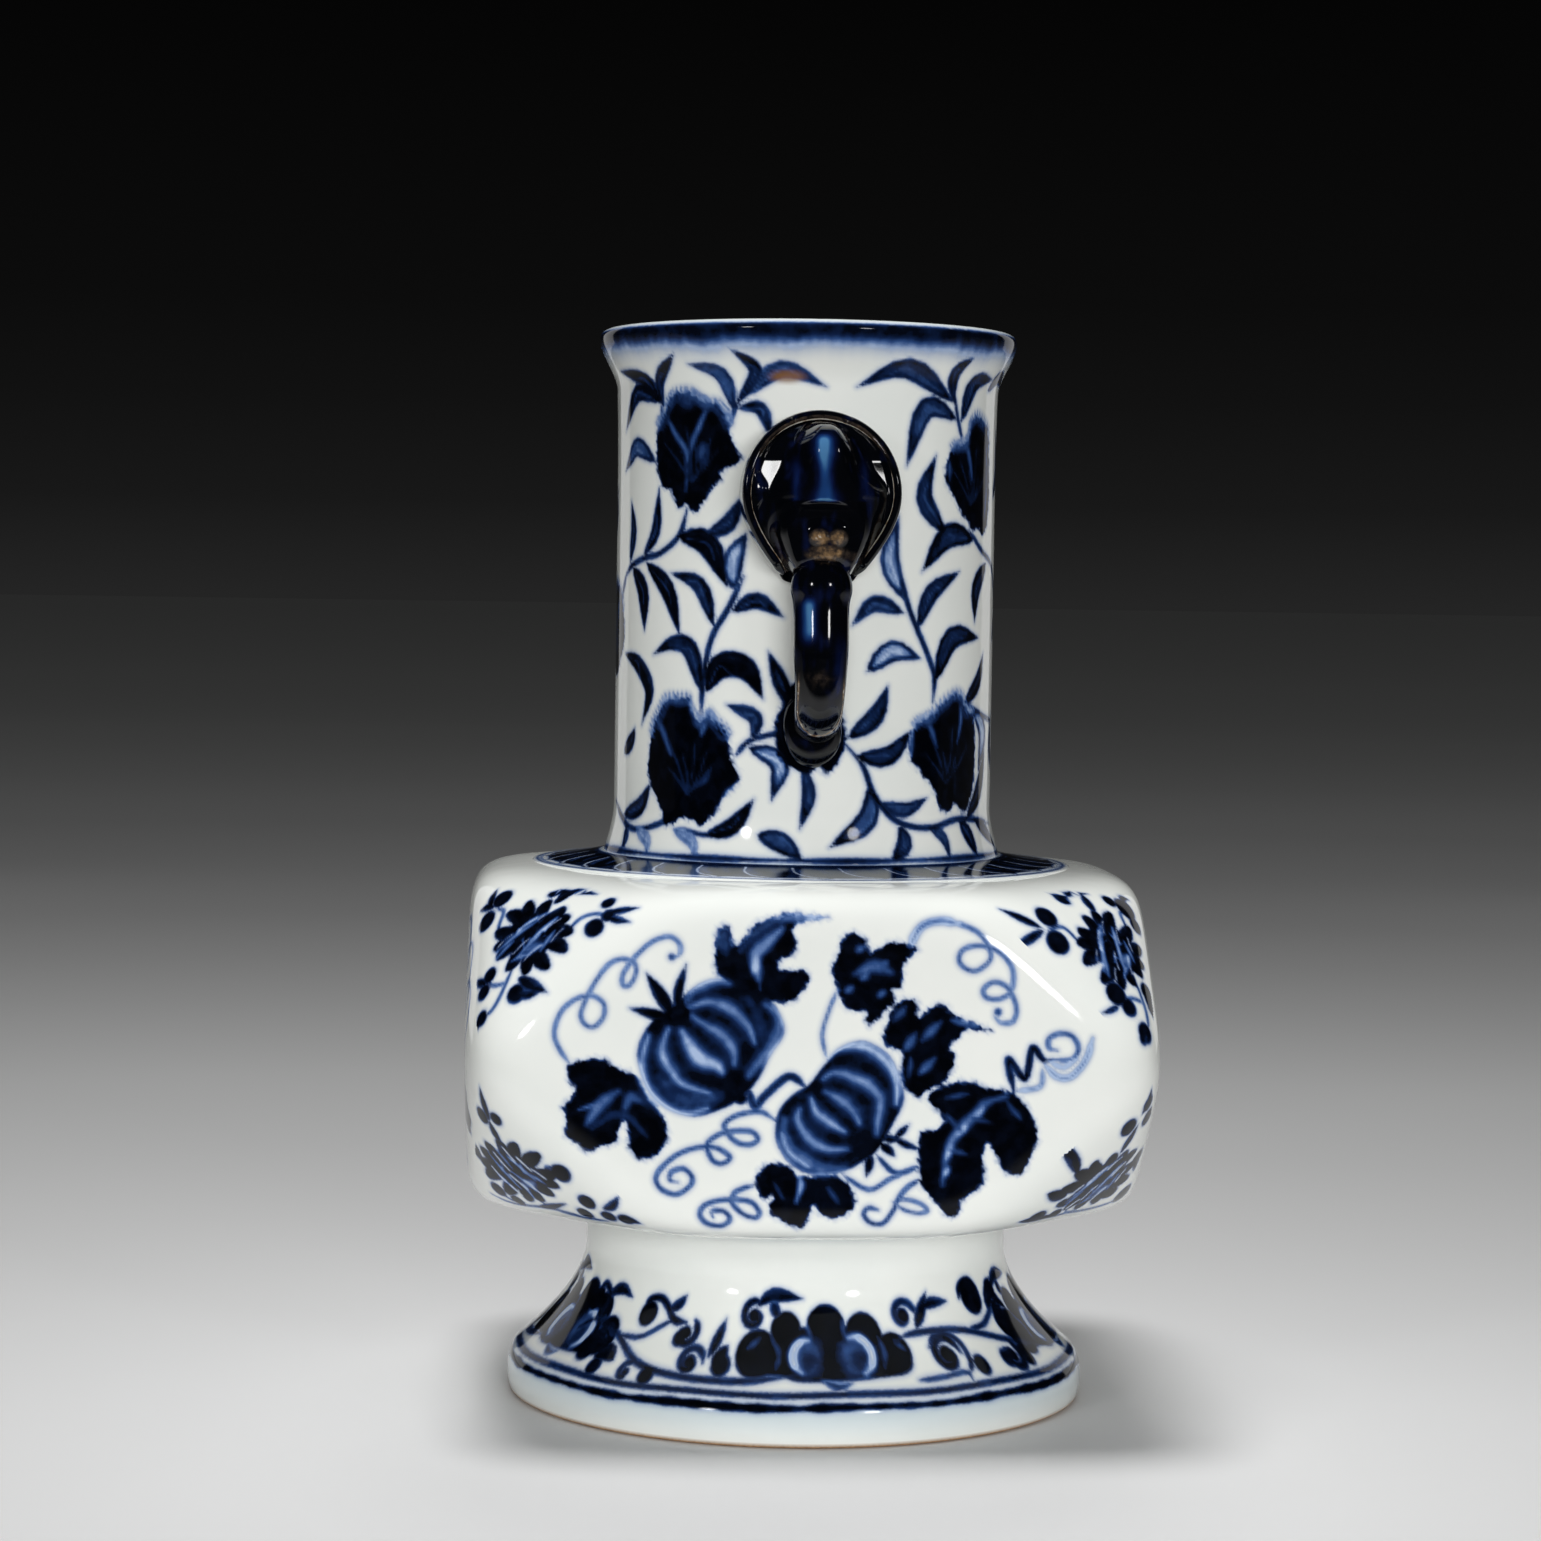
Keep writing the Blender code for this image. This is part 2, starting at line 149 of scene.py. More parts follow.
def in_line(spots, path, half):
    """For each spot: its depth inside a line (half-width less distance), its place along it, and its side.

    The place goes from 0 to 1, and the side from -1 at the line's right edge to 1 at its left edge.
    """
    start = path[:-1]
    run = path[1:] - start
    length = np.maximum((run * run).sum(axis=1), 1e-9)
    offset = spots[:, None] - start
    share = np.clip((offset * run).sum(axis=2) / length, 0.0, 1.0)
    miss = offset - share[..., None] * run
    width = half[:-1] + (half[1:] - half[:-1]) * share
    away = np.hypot(miss[..., 0], miss[..., 1])
    best = (width - away).argmax(axis=1)
    row = np.arange(len(spots))
    turn = run[best, 0] * offset[row, best, 1] - run[best, 1] * offset[row, best, 0]
    side = np.sign(turn) * away[row, best] / np.maximum(width[row, best], 0.05)
    return (width - away)[row, best], (best + share[row, best]) / len(start), side


def lay(ground, where, depth, tone):
    """Join a stroke to the drawing: its depth to the painted area's edge, and its tone where it covers."""
    cover = smooth((depth + 0.3) / 0.5)
    ground["wash"][where] += cover * (tone - ground["wash"][where])
    ground["edge"][where] = np.maximum(ground["edge"][where], np.maximum(depth, -BLEED))


def line(ground, points, width=0.6, tone=0.45, taper=0.15):
    """A brush line of even width that thins at both ends over a share of its length."""
    path = through(points)
    run = np.concatenate([[0.0], np.cumsum(np.hypot(*np.diff(path, axis=0).T))])
    share = run / run[-1]
    half = width / 2 * (0.4 + 0.6 * smooth(np.minimum(share, 1.0 - share) / taper))
    where, spots = under(ground, path, width + BLEED)
    lay(ground, where, in_line(spots, path, half)[0], tone)


def leaf(ground, points, width, tone=0.1, light=0.0, power=1.0):
    """A leaf or petal in one press of the brush, dark at its edges and ends and lighter inside by light.

    Its half-width is a sine along it. The brush is wetter on its left, so that side fires paler.
    """
    path = through(points, steps=4)
    run = np.concatenate([[0.0], np.cumsum(np.hypot(*np.diff(path, axis=0).T))])
    half = width / 2 * np.sin(math.pi * (run / run[-1]) ** 0.85) ** power + 0.08
    where, spots = under(ground, path, width / 2 + BLEED)
    depth, along, side = in_line(spots, path, half)
    lay(ground, where, depth, tone)
    middle = smooth((depth / (width / 2) - 0.15) / 0.5) * smooth(along / 0.25) * smooth((1 - along) / 0.3)
    ground["wash"][where] += middle * (light + 0.3 * side * smooth((side + 0.1) / 0.5))


def patch(ground, outline, tone=0.1, ragged=0.0):
    """A filled outline: depth is the distance to the outline, positive inside.

    Ragged, in mm, is how far the brush jags over it, as crossed sine waves 2 mm and 1 mm long.
    """
    path = through(outline, steps=4, closed=True)
    path = np.concatenate([path, path[:1]])
    where, spots = under(ground, path, BLEED)
    far = -in_line(spots, path, np.zeros(len(path)))[0]
    x, y = spots[:, :1], spots[:, 1:]
    ax, ay = path[:-1].T
    bx, by = path[1:].T
    crosses = ((ay > y) != (by > y)) & (x < ax + (y - ay) * (bx - ax) / np.where(by == ay, 1e-9, by - ay))
    inside = crosses.sum(axis=1) % 2 == 1
    x, y = spots.T
    jag = np.sin(3.1 * x + 1.5 * np.sin(1.9 * y)) * np.sin(2.9 * y + np.sin(2.3 * x))
    jag += 0.4 * np.sin(6.7 * x + 2.0 * y) * np.sin(5.9 * y - x)
    lay(ground, where, np.where(inside, far, -far) + ragged * (jag - 0.2), tone)


def dot(ground, points, radius, tone=0.1):
    """A round dab of the brush on one point."""
    x, y = points[0]
    where, spots = under(ground, np.array([[x, y], [x + 0.01, y]]), radius + BLEED)
    lay(ground, where, radius - np.hypot(spots[:, 0] - x, spots[:, 1] - y), tone)


def soften(ground, points, width, tone):
    """A lighter or darker streak that only changes the tone of what is painted already."""
    path = through(points)
    run = np.linspace(0.0, 1.0, len(path))
    half = width / 2 * (0.35 + 0.65 * np.sin(math.pi * run))
    feather = 0.2 + 0.28 * width
    where, spots = under(ground, path, width + feather)
    cover = smooth((in_line(spots, path, half)[0] + feather) / (2 * feather))
    ground["wash"][where] += cover * (tone - ground["wash"][where])


def hollow(ground, points, width):
    """A line left white in what is painted already."""
    path = through(points)
    where, spots = under(ground, path, width + BLEED)
    depth = in_line(spots, path, np.full(len(path), width / 2))[0]
    ground["edge"][where] = np.minimum(ground["edge"][where], -depth)


def scroll(ground, points, radius, turn=1.0, start=90.0, turns=1.1, width=1.2, tone=0.15):
    """A curl of the vine: a spiral that winds in from its radius to a heavy dab on one point."""
    x, y = points[0]
    angle = math.radians(start) + turn * np.linspace(0.0, math.tau * turns, 22)
    reach = radius * (1.0 - 0.8 * np.linspace(0.0, 1.0, 22))
    line(ground, np.stack([x + reach * np.cos(angle), y + reach * np.sin(angle)], axis=1), width, tone)
    dot(ground, points, radius * 0.5, tone * 0.5)


def moved(points, at):
    """The points moved right by at."""
    return [(at + x, y) for x, y in points]


def draw(ground, at, strokes):
    """Lay strokes in order, moved right by at: each is a brush, its points and its settings."""
    for brush, points, *settings in strokes:
        brush(ground, moved(points, at), *settings)


def linear(code):
    """Turn an sRGB hex colour into linear red, green, blue and full alpha."""
    parts = [int(code[i:i + 2], 16) / 255 for i in (1, 3, 5)]
    return tuple(c / 12.92 if c <= 0.04045 else ((c + 0.055) / 1.055) ** 2.4 for c in parts) + (1.0,)


def node(tree, kind, inputs, out=0, stops=(), **settings):
    """Add a node, give its inputs values or other nodes' outputs, and return one of its own outputs.

    Inputs are a list in the node's order, or go by number or name. Stops are a ramp's places and colours.
    """
    made = tree.nodes.new("ShaderNode" + kind)
    for key, value in settings.items():
        setattr(made, key, value)
    for key, value in inputs.items() if isinstance(inputs, dict) else enumerate(inputs):
        if isinstance(value, bpy.types.NodeSocket):
            tree.links.new(value, made.inputs[key])
        else:
            made.inputs[key].default_value = value
    if stops:
        ramp = made.color_ramp.elements
        while len(ramp) < len(stops):
            ramp.new(0.5)
        for stop, (share, code) in zip(ramp, stops):
            stop.position = share
            stop.color = linear(code)
    return made.outputs[out] if len(made.outputs) else None


def painted_porcelain(name):
    """Hard-paste porcelain, cobalt painted on the raw clay, clear glossy glaze fired over both.

    The cobalt is nearly black where it is thick and a soft mid-blue where it is thin, and its edges bleed a
    little into the glaze. The glaze is bluish white.
    """
    material = bpy.data.materials.new(name)
    material.use_nodes = True
    tree = material.node_tree
    shader = tree.nodes["Principled BSDF"]
    place = node(tree, "TexCoord", [], "Object")
    edge, wash, bare, pool, rust = (
        node(tree, "Attribute", [], "Fac", attribute_name=field)
        for field in ("paint_edge", "paint_wash", "bare", "pool", "rust"))

    # In mm: bristle marks, the slower drift of the hand, clouds in the white, the clay's grain, and dimples
    # in the fired glaze, which make reflections waver
    bristle, drift, cloud, grog, dimple = (
        node(tree, "TexNoise", {"Vector": place, "Scale": 1000 / size, "Detail": detail})
        for size, detail in ((0.6, 2), (2, 3), (14, 2), (0.5, 3), (5.0, 1.0)))

    # Bristles and drift move each painted edge a little, and cobalt bleeds nearly 1 mm out into the glaze
    fine = node(tree, "Math", [bristle, 0.26, -0.13], operation="MULTIPLY_ADD")
    slow = node(tree, "Math", [drift, 0.36, fine], operation="MULTIPLY_ADD")
    edge_moved = node(tree, "Math", [edge, slow], operation="ADD")
    cover = node(tree, "MapRange", [edge_moved, 0.0, 0.42], interpolation_type="SMOOTHSTEP")
    bleed = node(tree, "MapRange", [edge, -0.9, 0.1])
    bleed = node(tree, "Math", [bleed, 2.4], operation="POWER")
    bleed = node(tree, "Math", [bleed, 0.75], operation="MULTIPLY")

    # A stroke is thin at its edge and fires paler there, so fine lines are mid-blue and broad ones dark
    thin = node(tree, "MapRange", [edge, 0.05, 0.6, 0.3, 0.0], interpolation_type="SMOOTHSTEP")
    tone = node(tree, "Math", [drift, 0.44, -0.22], operation="MULTIPLY_ADD")
    tone = node(tree, "Math", [tone, thin], operation="ADD")
    tone = node(tree, "Math", [tone, wash], operation="ADD")
    cobalt = node(tree, "ValToRGB", [tone], stops=(
        (0.0, "#020307"), (0.15, "#060B18"), (0.35, "#12244A"), (0.58, "#2D4B80"), (0.8, "#6581B2"),
        (1.0, "#A6BAD9")))
    clay = node(tree, "Mix", {0: grog, 6: linear("#7A5638"), 7: linear("#C4A27C")}, 2, data_type="RGBA")
    colour = linear("#F0F1EC")
    for share, over in (
            (cloud, linear("#E4E8E4")), (pool, linear("#C6D2D6")), (bleed, linear("#6C8ABC")),
            (cover, cobalt), (rust, linear("#8A6136")), (bare, clay)):
        colour = node(tree, "Mix", {0: share, 6: colour, 7: over}, 2, data_type="RGBA")
    tree.links.new(colour, shader.inputs["Base Color"])

    # Glaze is smooth as glass and the bare clay is dull. Heaped cobalt breaks through the glaze and leaves it
    # pitted, so paint reflects half of what the white does
    gloss = node(tree, "Math", [bare, 0.6, 0.07], operation="MULTIPLY_ADD")
    tree.links.new(gloss, shader.inputs["Roughness"])
    shader.inputs["IOR"].default_value = 1.46
    pitted = node(tree, "Math", [cover, -0.27, 0.5], operation="MULTIPLY_ADD")
    tree.links.new(pitted, shader.inputs["Specular IOR Level"])
    bump = node(tree, "Bump", {"Strength": 0.25, "Distance": 0.0001, "Height": dimple})
    tree.links.new(bump, shader.inputs["Normal"])
    return material


def foot_radius(z):
    """Outer radius at a height: a band that rounds in at sole and top, then a hollow sweep to the stem."""
    band = np.where(z < 2.5, 0.6 * (1 - z / 2.5) ** 2, 1.0 * np.clip((z - 2.5) / 3.9, 0, 1) ** 3)
    rise = np.clip((z - FOOT_BAND) / 14.4, 0, 1)
    sweep = STEM + (FOOT_WIDEST - 1.0 - STEM) * (1 - rise) ** 1.75
    return np.where(z < FOOT_BAND, FOOT_WIDEST - band, sweep) + 0.5 * smooth((z - 26.9) / 0.85)


level = np.linspace(FOOT_TOP, 0.3, 900)
foot_outside = evenly(np.stack([foot_radius(level), level], axis=1), FOOT_ROWS)
foot_sole = np.array([(40.1, 0.1), (39.8, 0), (38.3, 0), (36.8, 0), (36.5, 0.1), (36.3, 0.4)])
level = np.linspace(1.5, FOOT_TOP, 12)
foot_inside = np.stack([foot_radius(level) - FOOT_WALL, level], axis=1)
foot_outline = np.concatenate([foot_outside, foot_sole, foot_inside])
foot_height = np.where(np.arange(len(foot_outline)) < FOOT_ROWS, foot_outline[:, 1], UNPAINTED)
foot_points, foot_ground = turned(foot_outline, FOOT_COLUMNS, FOOT_MEASURE, foot_height)


def foot_bloom(ground, at):
    """The lotus on the foot: dark lobes with paler gaps between them, and two eyes with pale crescents."""
    lobes = ((-7.2, 11.4, 3.0), (-3.4, 14.4, 2.3), (2.5, 14.6, 3.0), (8.0, 13.7, 2.8), (12.0, 11.4, 2.5))
    draw(ground, at, [(dot, [(x, y)], radius, 0.03) for x, y, radius in lobes])
    draw(ground, at, [
        (patch, [(-8, 9.4), (-4, 8.9), (-1, 8.3), (5, 8.4), (9, 8.6), (13, 9), (14.2, 10.6), (12, 13),
                 (5, 15), (-4, 14)], 0.03)])
    gaps = (
        ((-5.4, 13.2), (-4.2, 11.6), (-4.4, 9.8)), ((-0.4, 15.2), (0.2, 13.6)), ((4.9, 15.4), (5.1, 13.6)),
        ((10, 13.4), (10.5, 11.6), (10, 9.8)), ((-8.6, 12), (-7, 13.2)), ((12.4, 12.8), (13.6, 11.6)))
    draw(ground, at, [(soften, gap, 0.7, 0.5) for gap in gaps])
    for x, y, radius, start, end in ((-0.4, 11.2, 1.9, 80, 250), (6.4, 11.3, 2.2, 110, -70)):
        turn = np.radians(np.linspace(start, end, 9))
        crescent = np.stack([x + radius * np.cos(turn), y + radius * np.sin(turn)], axis=1)
        draw(ground, at, [
            (soften, [(x - 0.1, y), (x + 0.1, y)], 2.2 * radius, 0.55),
            (soften, [(x + 0.3, y - 0.5), (x + 0.5, y - 0.6)], 1.1 * radius, 0.3),
            (soften, crescent, 1.1, 1.1), (hollow, crescent[2:7], 0.35)])
    draw(ground, at, [
        (leaf, [(-8, 17), (-5.5, 18.6), (-0.8, 18.2)], 1.9, 0.15),
        (leaf, [(-5.4, 17.8), (-5, 16.6), (-4.2, 15.8)], 1.6, 0.2), (scroll, [(-8.2, 15.9)], 2.0, 1.0, 60),
        (leaf, [(1.4, 8.6), (3.4, 7.9), (5.4, 8.3)], 1.0, 0.4)])


def right_scrolls(ground, at):
    """Vine and curls that run right from a bloom to the next one."""
    draw(ground, at, [
        (line, [(12.6, 12.6), (14.6, 13.3), (18.8, 13.5), (25, 13), (33.1, 10.8), (39, 9.4)], 1.0, 0.22),
        (scroll, [(14.8, 15.6)], 2.3, 1.0, 0, 0.9, 1.2, 0.25),
        (leaf, [(16.4, 13.9), (18, 15.8), (20, 18.4)], 1.7, 0.15),
        (leaf, [(18, 16.4), (20.6, 16.9), (23.8, 16.8)], 1.5, 0.15), (dot, [(29.4, 16.8)], 2.4, 0.04),
        (scroll, [(29.6, 16.4)], 3.1, -1.0, 170, 0.8, 1.5, 0.08),
        (leaf, [(32.4, 14.4), (34.4, 16.6), (36.6, 18.6)], 2.2, 0.08), (dot, [(35.4, 17)], 1.6, 0.08),
        (dot, [(34.9, 12.8)], 2.2, 0.05), (scroll, [(35.2, 13.2)], 2.8, 1.0, 20, 0.7, 1.3, 0.1),
        (line, [(26, 13), (29.4, 13.2), (32, 14.2), (34, 15.2)], 0.9, 0.2),
        (scroll, [(19.8, 10.6)], 2.4, 1.0, 0, 1.3, 1.3, 0.12),
        (line, [(17.4, 11.6), (19, 12.8), (21.6, 12.8), (23.1, 11.4), (23, 9.4),
         (21.8, 8.2)], 1.0, 0.2),
        (dot, [(24.6, 8.9)], 1.3, 0.1),
        (line, [(14, 8.1), (17.5, 8.2), (21.4, 8.4), (21.6, 7.2)], 0.7, 0.3),
        (scroll, [(31.4, 9.2)], 2.1, -1.0, 60, 1.0, 1.3, 0.12), (dot, [(34.2, 8.9)], 1.5, 0.1),
        (dot, [(30, 9)], 1.2, 0.1)])


def left_scrolls(ground, at):
    """Vine and curls that come from the left into a bloom."""
    draw(ground, at, [
        (line, [(-38.5, 11.4), (-36.4, 12.7), (-33.8, 12.8), (-29.4, 11.8), (-23.8, 9.2), (-17.5, 8.3),
         (-10, 8.2), (-5, 8.7), (-2, 9.2)], 1.0, 0.22),
        (line, [(-29.4, 11.8), (-25.4, 12), (-22.6, 13.6), (-20.6, 14.8)], 0.8, 0.25),
        (dot, [(-25.7, 14.9)], 1.7, 0.05),
        (line, [(-26.8, 15.2), (-26.2, 16.6), (-24.2, 17), (-22.4, 16), (-20.8, 14.6),
         (-18.6, 14.4)], 1.2, 0.12),
        (leaf, [(-22.2, 15.6), (-20.6, 16.6), (-19.6, 17.8)], 1.5, 0.15),
        (scroll, [(-18.2, 13.2)], 1.9, -1.0, 60, 0.9, 1.2, 0.15), (dot, [(-18.9, 12.5)], 1.1, 0.1),
        (scroll, [(-16.2, 10)], 1.9, 1.0, 0, 1.2, 1.1, 0.2),
        (leaf, [(-13.8, 10.6), (-13.2, 12.6), (-12.4, 15.4)], 1.5, 0.15),
        (leaf, [(-12.6, 9.4), (-12.2, 10.8), (-11.4, 12.2)], 1.9, 0.06), (dot, [(-11.8, 9.9)], 1.4, 0.08),
        (dot, [(-38.4, 15.4)], 1.6, 0.05),
        (line, [(-39.2, 16), (-37.8, 17.2), (-35.8, 16.4), (-35.2, 14.8), (-36.2, 13)], 1.2, 0.12),
        (leaf, [(-36.4, 15.8), (-33.2, 17.2), (-30, 16.4)], 1.7, 0.12), (dot, [(-33.4, 9.8)], 1.8, 0.05),
        (line, [(-34.2, 11), (-32.6, 11.6), (-30.9, 10.4), (-30.6, 8.6)], 1.0, 0.15),
        (leaf, [(-31, 8.8), (-29.4, 9.7), (-27.4, 8.9)], 2.2, 0.08), (dot, [(-30, 7.9)], 1.2, 0.1),
        (scroll, [(-24.6, 7.9)], 1.3, 1.0, 60, 0.8, 1.0, 0.2), (dot, [(-21.4, 7.9)], 1.2, 0.12)])


BLOOM_STEP = FOOT_MEASURE * math.tau / 5
for k in range(5):
    foot_bloom(foot_ground, k * BLOOM_STEP)
for k in (0, 2):
    right_scrolls(foot_ground, k * BLOOM_STEP)
for k in (2, 4, 0):
    left_scrolls(foot_ground, k * BLOOM_STEP)

# Two blue lines run round the band on the wheel, with a pale wash between them
around = foot_ground["u"] / FOOT_MEASURE
waver = 0.12 * np.sin(3 * around + 1.0) + 0.08 * np.sin(11 * around)
ragged = 0.1 * np.sin(14 * around + 2 * np.sin(9 * around)) + 0.05 * np.sin(61 * around)
lay(foot_ground, slice(None), 0.42 - np.abs(foot_ground["v"] - 6.85 - waver), 0.16)
lay(foot_ground, slice(None), 0.56 + ragged - np.abs(foot_ground["v"] - 5.4 - waver), 0.02)
sole_line = smooth((0.75 - foot_points[..., 2]) / 0.35)
row_number = np.broadcast_to(np.arange(len(foot_outline))[:, None], foot_points.shape[:2])
bare_rim = np.where(row_number < FOOT_ROWS + 6, sole_line, 0.0)
pool = np.clip(
    smooth((7.0 - foot_points[..., 2]) / 2.5) * smooth(foot_points[..., 2] / 5.0)
    + smooth((foot_points[..., 2] - 25.0) / 2.7), 0, 1)
foot = add_piece(
    "foot_glazed", foot_points, ring_quads(*foot_points.shape[:2], wrap_rows=True).tolist(),
    {"paint_edge": foot_ground["edge"], "paint_wash": foot_ground["wash"], "bare": bare_rim, "pool": pool},
    painted_porcelain("painted_porcelain_foot"))
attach(foot, "root")
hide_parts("foot")


# The body is pressed in two halves over a mould, luted along the middle and trimmed: a square block whose
# eight corners are cut off to a point halfway up. It has melon vine on its sides and a spray on each corner.
BODY_HALF = 46.8
BODY_MIDDLE = 51.525
BODY_HALF_HEIGHT = 23.775
CORNER_CUT = 26.8
BODY_WALL = 4.0
BODY_COLUMNS = 1080
SIDE_ROWS = 68
EDGE_ROWS = 12
COARSE = 6
BORE = 24.9


def block_planes(inset):
    """Unit normals of the block's four sides and eight corner facets, and their distances from the middle."""
    normals = [(1, 0, 0), (-1, 0, 0), (0, 1, 0), (0, -1, 0)]
    away = [BODY_HALF - inset] * 4
    for sx in (1, -1):
        for sy in (1, -1):
            for sz in (1, -1):
                tilt = np.array([sx / CORNER_CUT, sy / CORNER_CUT, sz / BODY_HALF_HEIGHT])
                reach = (2 * BODY_HALF - CORNER_CUT) / CORNER_CUT + 1
                normals.append(tilt / np.linalg.norm(tilt))
                away.append(reach / np.linalg.norm(tilt) - inset)
    return np.array(normals, float), np.array(away)


def block_skin(heading, inset):
    """Where rays from the block's middle meet its skin, and the skin's normals.

    Each plane gives n.d / distance. The sides and facets join in a power mean of 18.4, and that joins the top
    and bottom in a power mean of 13, which rounds the edges as the glaze does. The ray is cut where it is 1.
    """
    normals, away = block_planes(inset)
    share = np.maximum(heading @ (normals / away[:, None]).T, 0.0)
    side = (share ** 18.4).sum(axis=-1) ** (1 / 18.4)
    flat = np.abs(heading[..., 2]) / (BODY_HALF_HEIGHT - inset)
    whole = (side ** 13 + flat ** 13) ** (1 / 13)
    points = heading / whole[..., None]
    pull = (share / side[..., None]) ** 17.4 @ (normals / away[:, None])
    out = (side / whole)[..., None] ** 12 * pull
    out[..., 2] += (flat / whole) ** 12 * np.sign(heading[..., 2]) / (BODY_HALF_HEIGHT - inset)
    return points, out / np.linalg.norm(out, axis=-1, keepdims=True)


def square_path(count):
    """Count points spaced evenly round a square of half-width 1, from its -Y side's middle towards +X."""
    run = np.arange(count) * (8.0 / count)
    side = np.floor((run + 1.0) / 2.0) % 4
    along = (run + 1.0) % 2.0 - 1.0
    x = np.choose(side.astype(int), [along, np.ones(count), -along, -np.ones(count)])
    y = np.choose(side.astype(int), [-np.ones(count), along, np.ones(count), -along])
    return x, y


def block_rings(scales, heights, columns, inset):
    """Rings on the block's skin: square paths scaled across and lifted by shares of its half-sizes."""
    x, y = square_path(columns)
    across = np.asarray(scales, float)[:, None] * (BODY_HALF - inset)
    lift = np.asarray(heights, float)[:, None] * (BODY_HALF_HEIGHT - inset)
    heading = np.stack([across * x, across * y, np.broadcast_to(lift, (len(across), columns))], axis=2)
    return block_skin(heading, inset)


def circles(radii, level, columns):
    """Level rings whose points stand in the same directions as a square path's, and their upright normals."""
    x, y = square_path(columns)
    unit = np.stack([x, y], axis=1) / np.hypot(x, y)[:, None]
    rings = [np.column_stack([radius * unit, np.full(columns, level)]) for radius in radii]
    return np.array(rings), np.broadcast_to([0.0, 0.0, math.copysign(1.0, level)], (len(rings), columns, 3))


def stitch(fine_first, coarse_first, fine_count, flip):
    """Faces between a fine ring and a coarse one that has every sixth of its columns."""
    faces = []
    for k in range(fine_count // COARSE):
        ahead = (k + 1) % (fine_count // COARSE)
        near = [fine_first + (k * COARSE + j) % fine_count for j in range(COARSE + 1)]
        half = COARSE // 2
        for j in range(COARSE):
            apex = coarse_first + (k if j < half else ahead)
            faces.append([near[j], near[j + 1], apex])
        faces.append([near[half], coarse_first + ahead, coarse_first + k])
    return [face[::-1] for face in faces] if flip else faces


def pressed_half(upward):
    """One half as a closed shell with outward faces: points, faces, and normals (0 where they are automatic).

    Fine rings climb the side and round the edge, coarse ones cross the flat to the bore, and the inside comes
    back to the middle. The lower half has a floor instead of a bore, closed above and below by a point.
    """
    sign = 1.0 if upward else -1.0
    coarse = BODY_COLUMNS // COARSE
    floor = (BODY_HALF_HEIGHT - BODY_WALL) * sign
    climb = np.linspace(0.0, 1.0, SIDE_ROWS)
    shrink = np.linspace(1.0, 0.84, EDGE_ROWS + 1)[1:]
    fine = block_rings(np.append(np.ones(SIDE_ROWS), shrink), np.append(climb, np.ones(EDGE_ROWS)) * sign,
                       BODY_COLUMNS, 0.0)
    flat = block_rings((0.79, 0.72, 0.62), (sign, sign, sign), coarse, 0.0)
    bore = circles((BORE,) if upward else (BORE, 0.5 * BORE), BODY_HALF_HEIGHT * sign, coarse)
    lining = circles((BORE,) if upward else (0.5 * BORE, BORE), floor, coarse)
    lifts = np.array((1, 1, 1, 0.97, 0.9, 0.7, 0.4, 0)) * sign
    inside = block_rings((0.8, 0.92, 0.98, 1, 1, 1, 1, 1), lifts, coarse, BODY_WALL)
    outer = np.concatenate([flat[0], bore[0]])
    inner = np.concatenate([lining[0], inside[0]])

    outer_first = fine[0][..., 0].size
    inner_first = outer_first + outer[..., 0].size
    ends = inner_first + inner[..., 0].size
    faces = ring_quads(len(fine[0]), BODY_COLUMNS)[:, ::-1].tolist()
    faces += stitch(outer_first - BODY_COLUMNS, outer_first, BODY_COLUMNS, flip=False)
    faces += ring_quads(len(outer), coarse, outer_first)[:, ::-1].tolist()
    faces += ring_quads(len(inner), coarse, inner_first)[:, ::-1].tolist()
    faces += stitch(0, ends - coarse, BODY_COLUMNS, flip=True)
    here = np.arange(coarse)
    after = (here + 1) % coarse
    rim = inner_first - coarse
    points = [fine[0].reshape(-1, 3), outer.reshape(-1, 3), inner.reshape(-1, 3)]
    if upward:
        faces += np.column_stack([rim + here, rim + after, inner_first + after, inner_first + here]).tolist()
    else:
        over = np.full(coarse, ends)
        faces += np.column_stack([rim + here, rim + after, over]).tolist()
        faces += np.column_stack([inner_first + after, inner_first + here, over + 1]).tolist()
        points.append(np.array([(0, 0, BODY_HALF_HEIGHT * sign), (0, 0, floor)]))
        faces = [face[::-1] for face in faces]
    points = np.concatenate(points) + (0.0, 0.0, BODY_MIDDLE)
    normals = np.zeros_like(points)
    normals[:outer_first] = fine[1].reshape(-1, 3)
    normals[outer_first:outer_first + 3 * coarse] = flat[1].reshape(-1, 3)
    return points, faces, normals


def melon(ground, outline, ribs, spikes):
    """A ripe melon: dark furrows, ribs that are pale lines fading to mid-blue, and pointed stalk leaves."""
    patch(ground, outline, 0.1)
    for spread, share in ((2.2, 0.3), (1, 0.65), (0.0, 1.0)):
        for points, width, tone in ribs:
            soften(ground, points, width + spread, share * tone)
    for points, width in spikes:
        leaf(ground, points, width, 0.05)


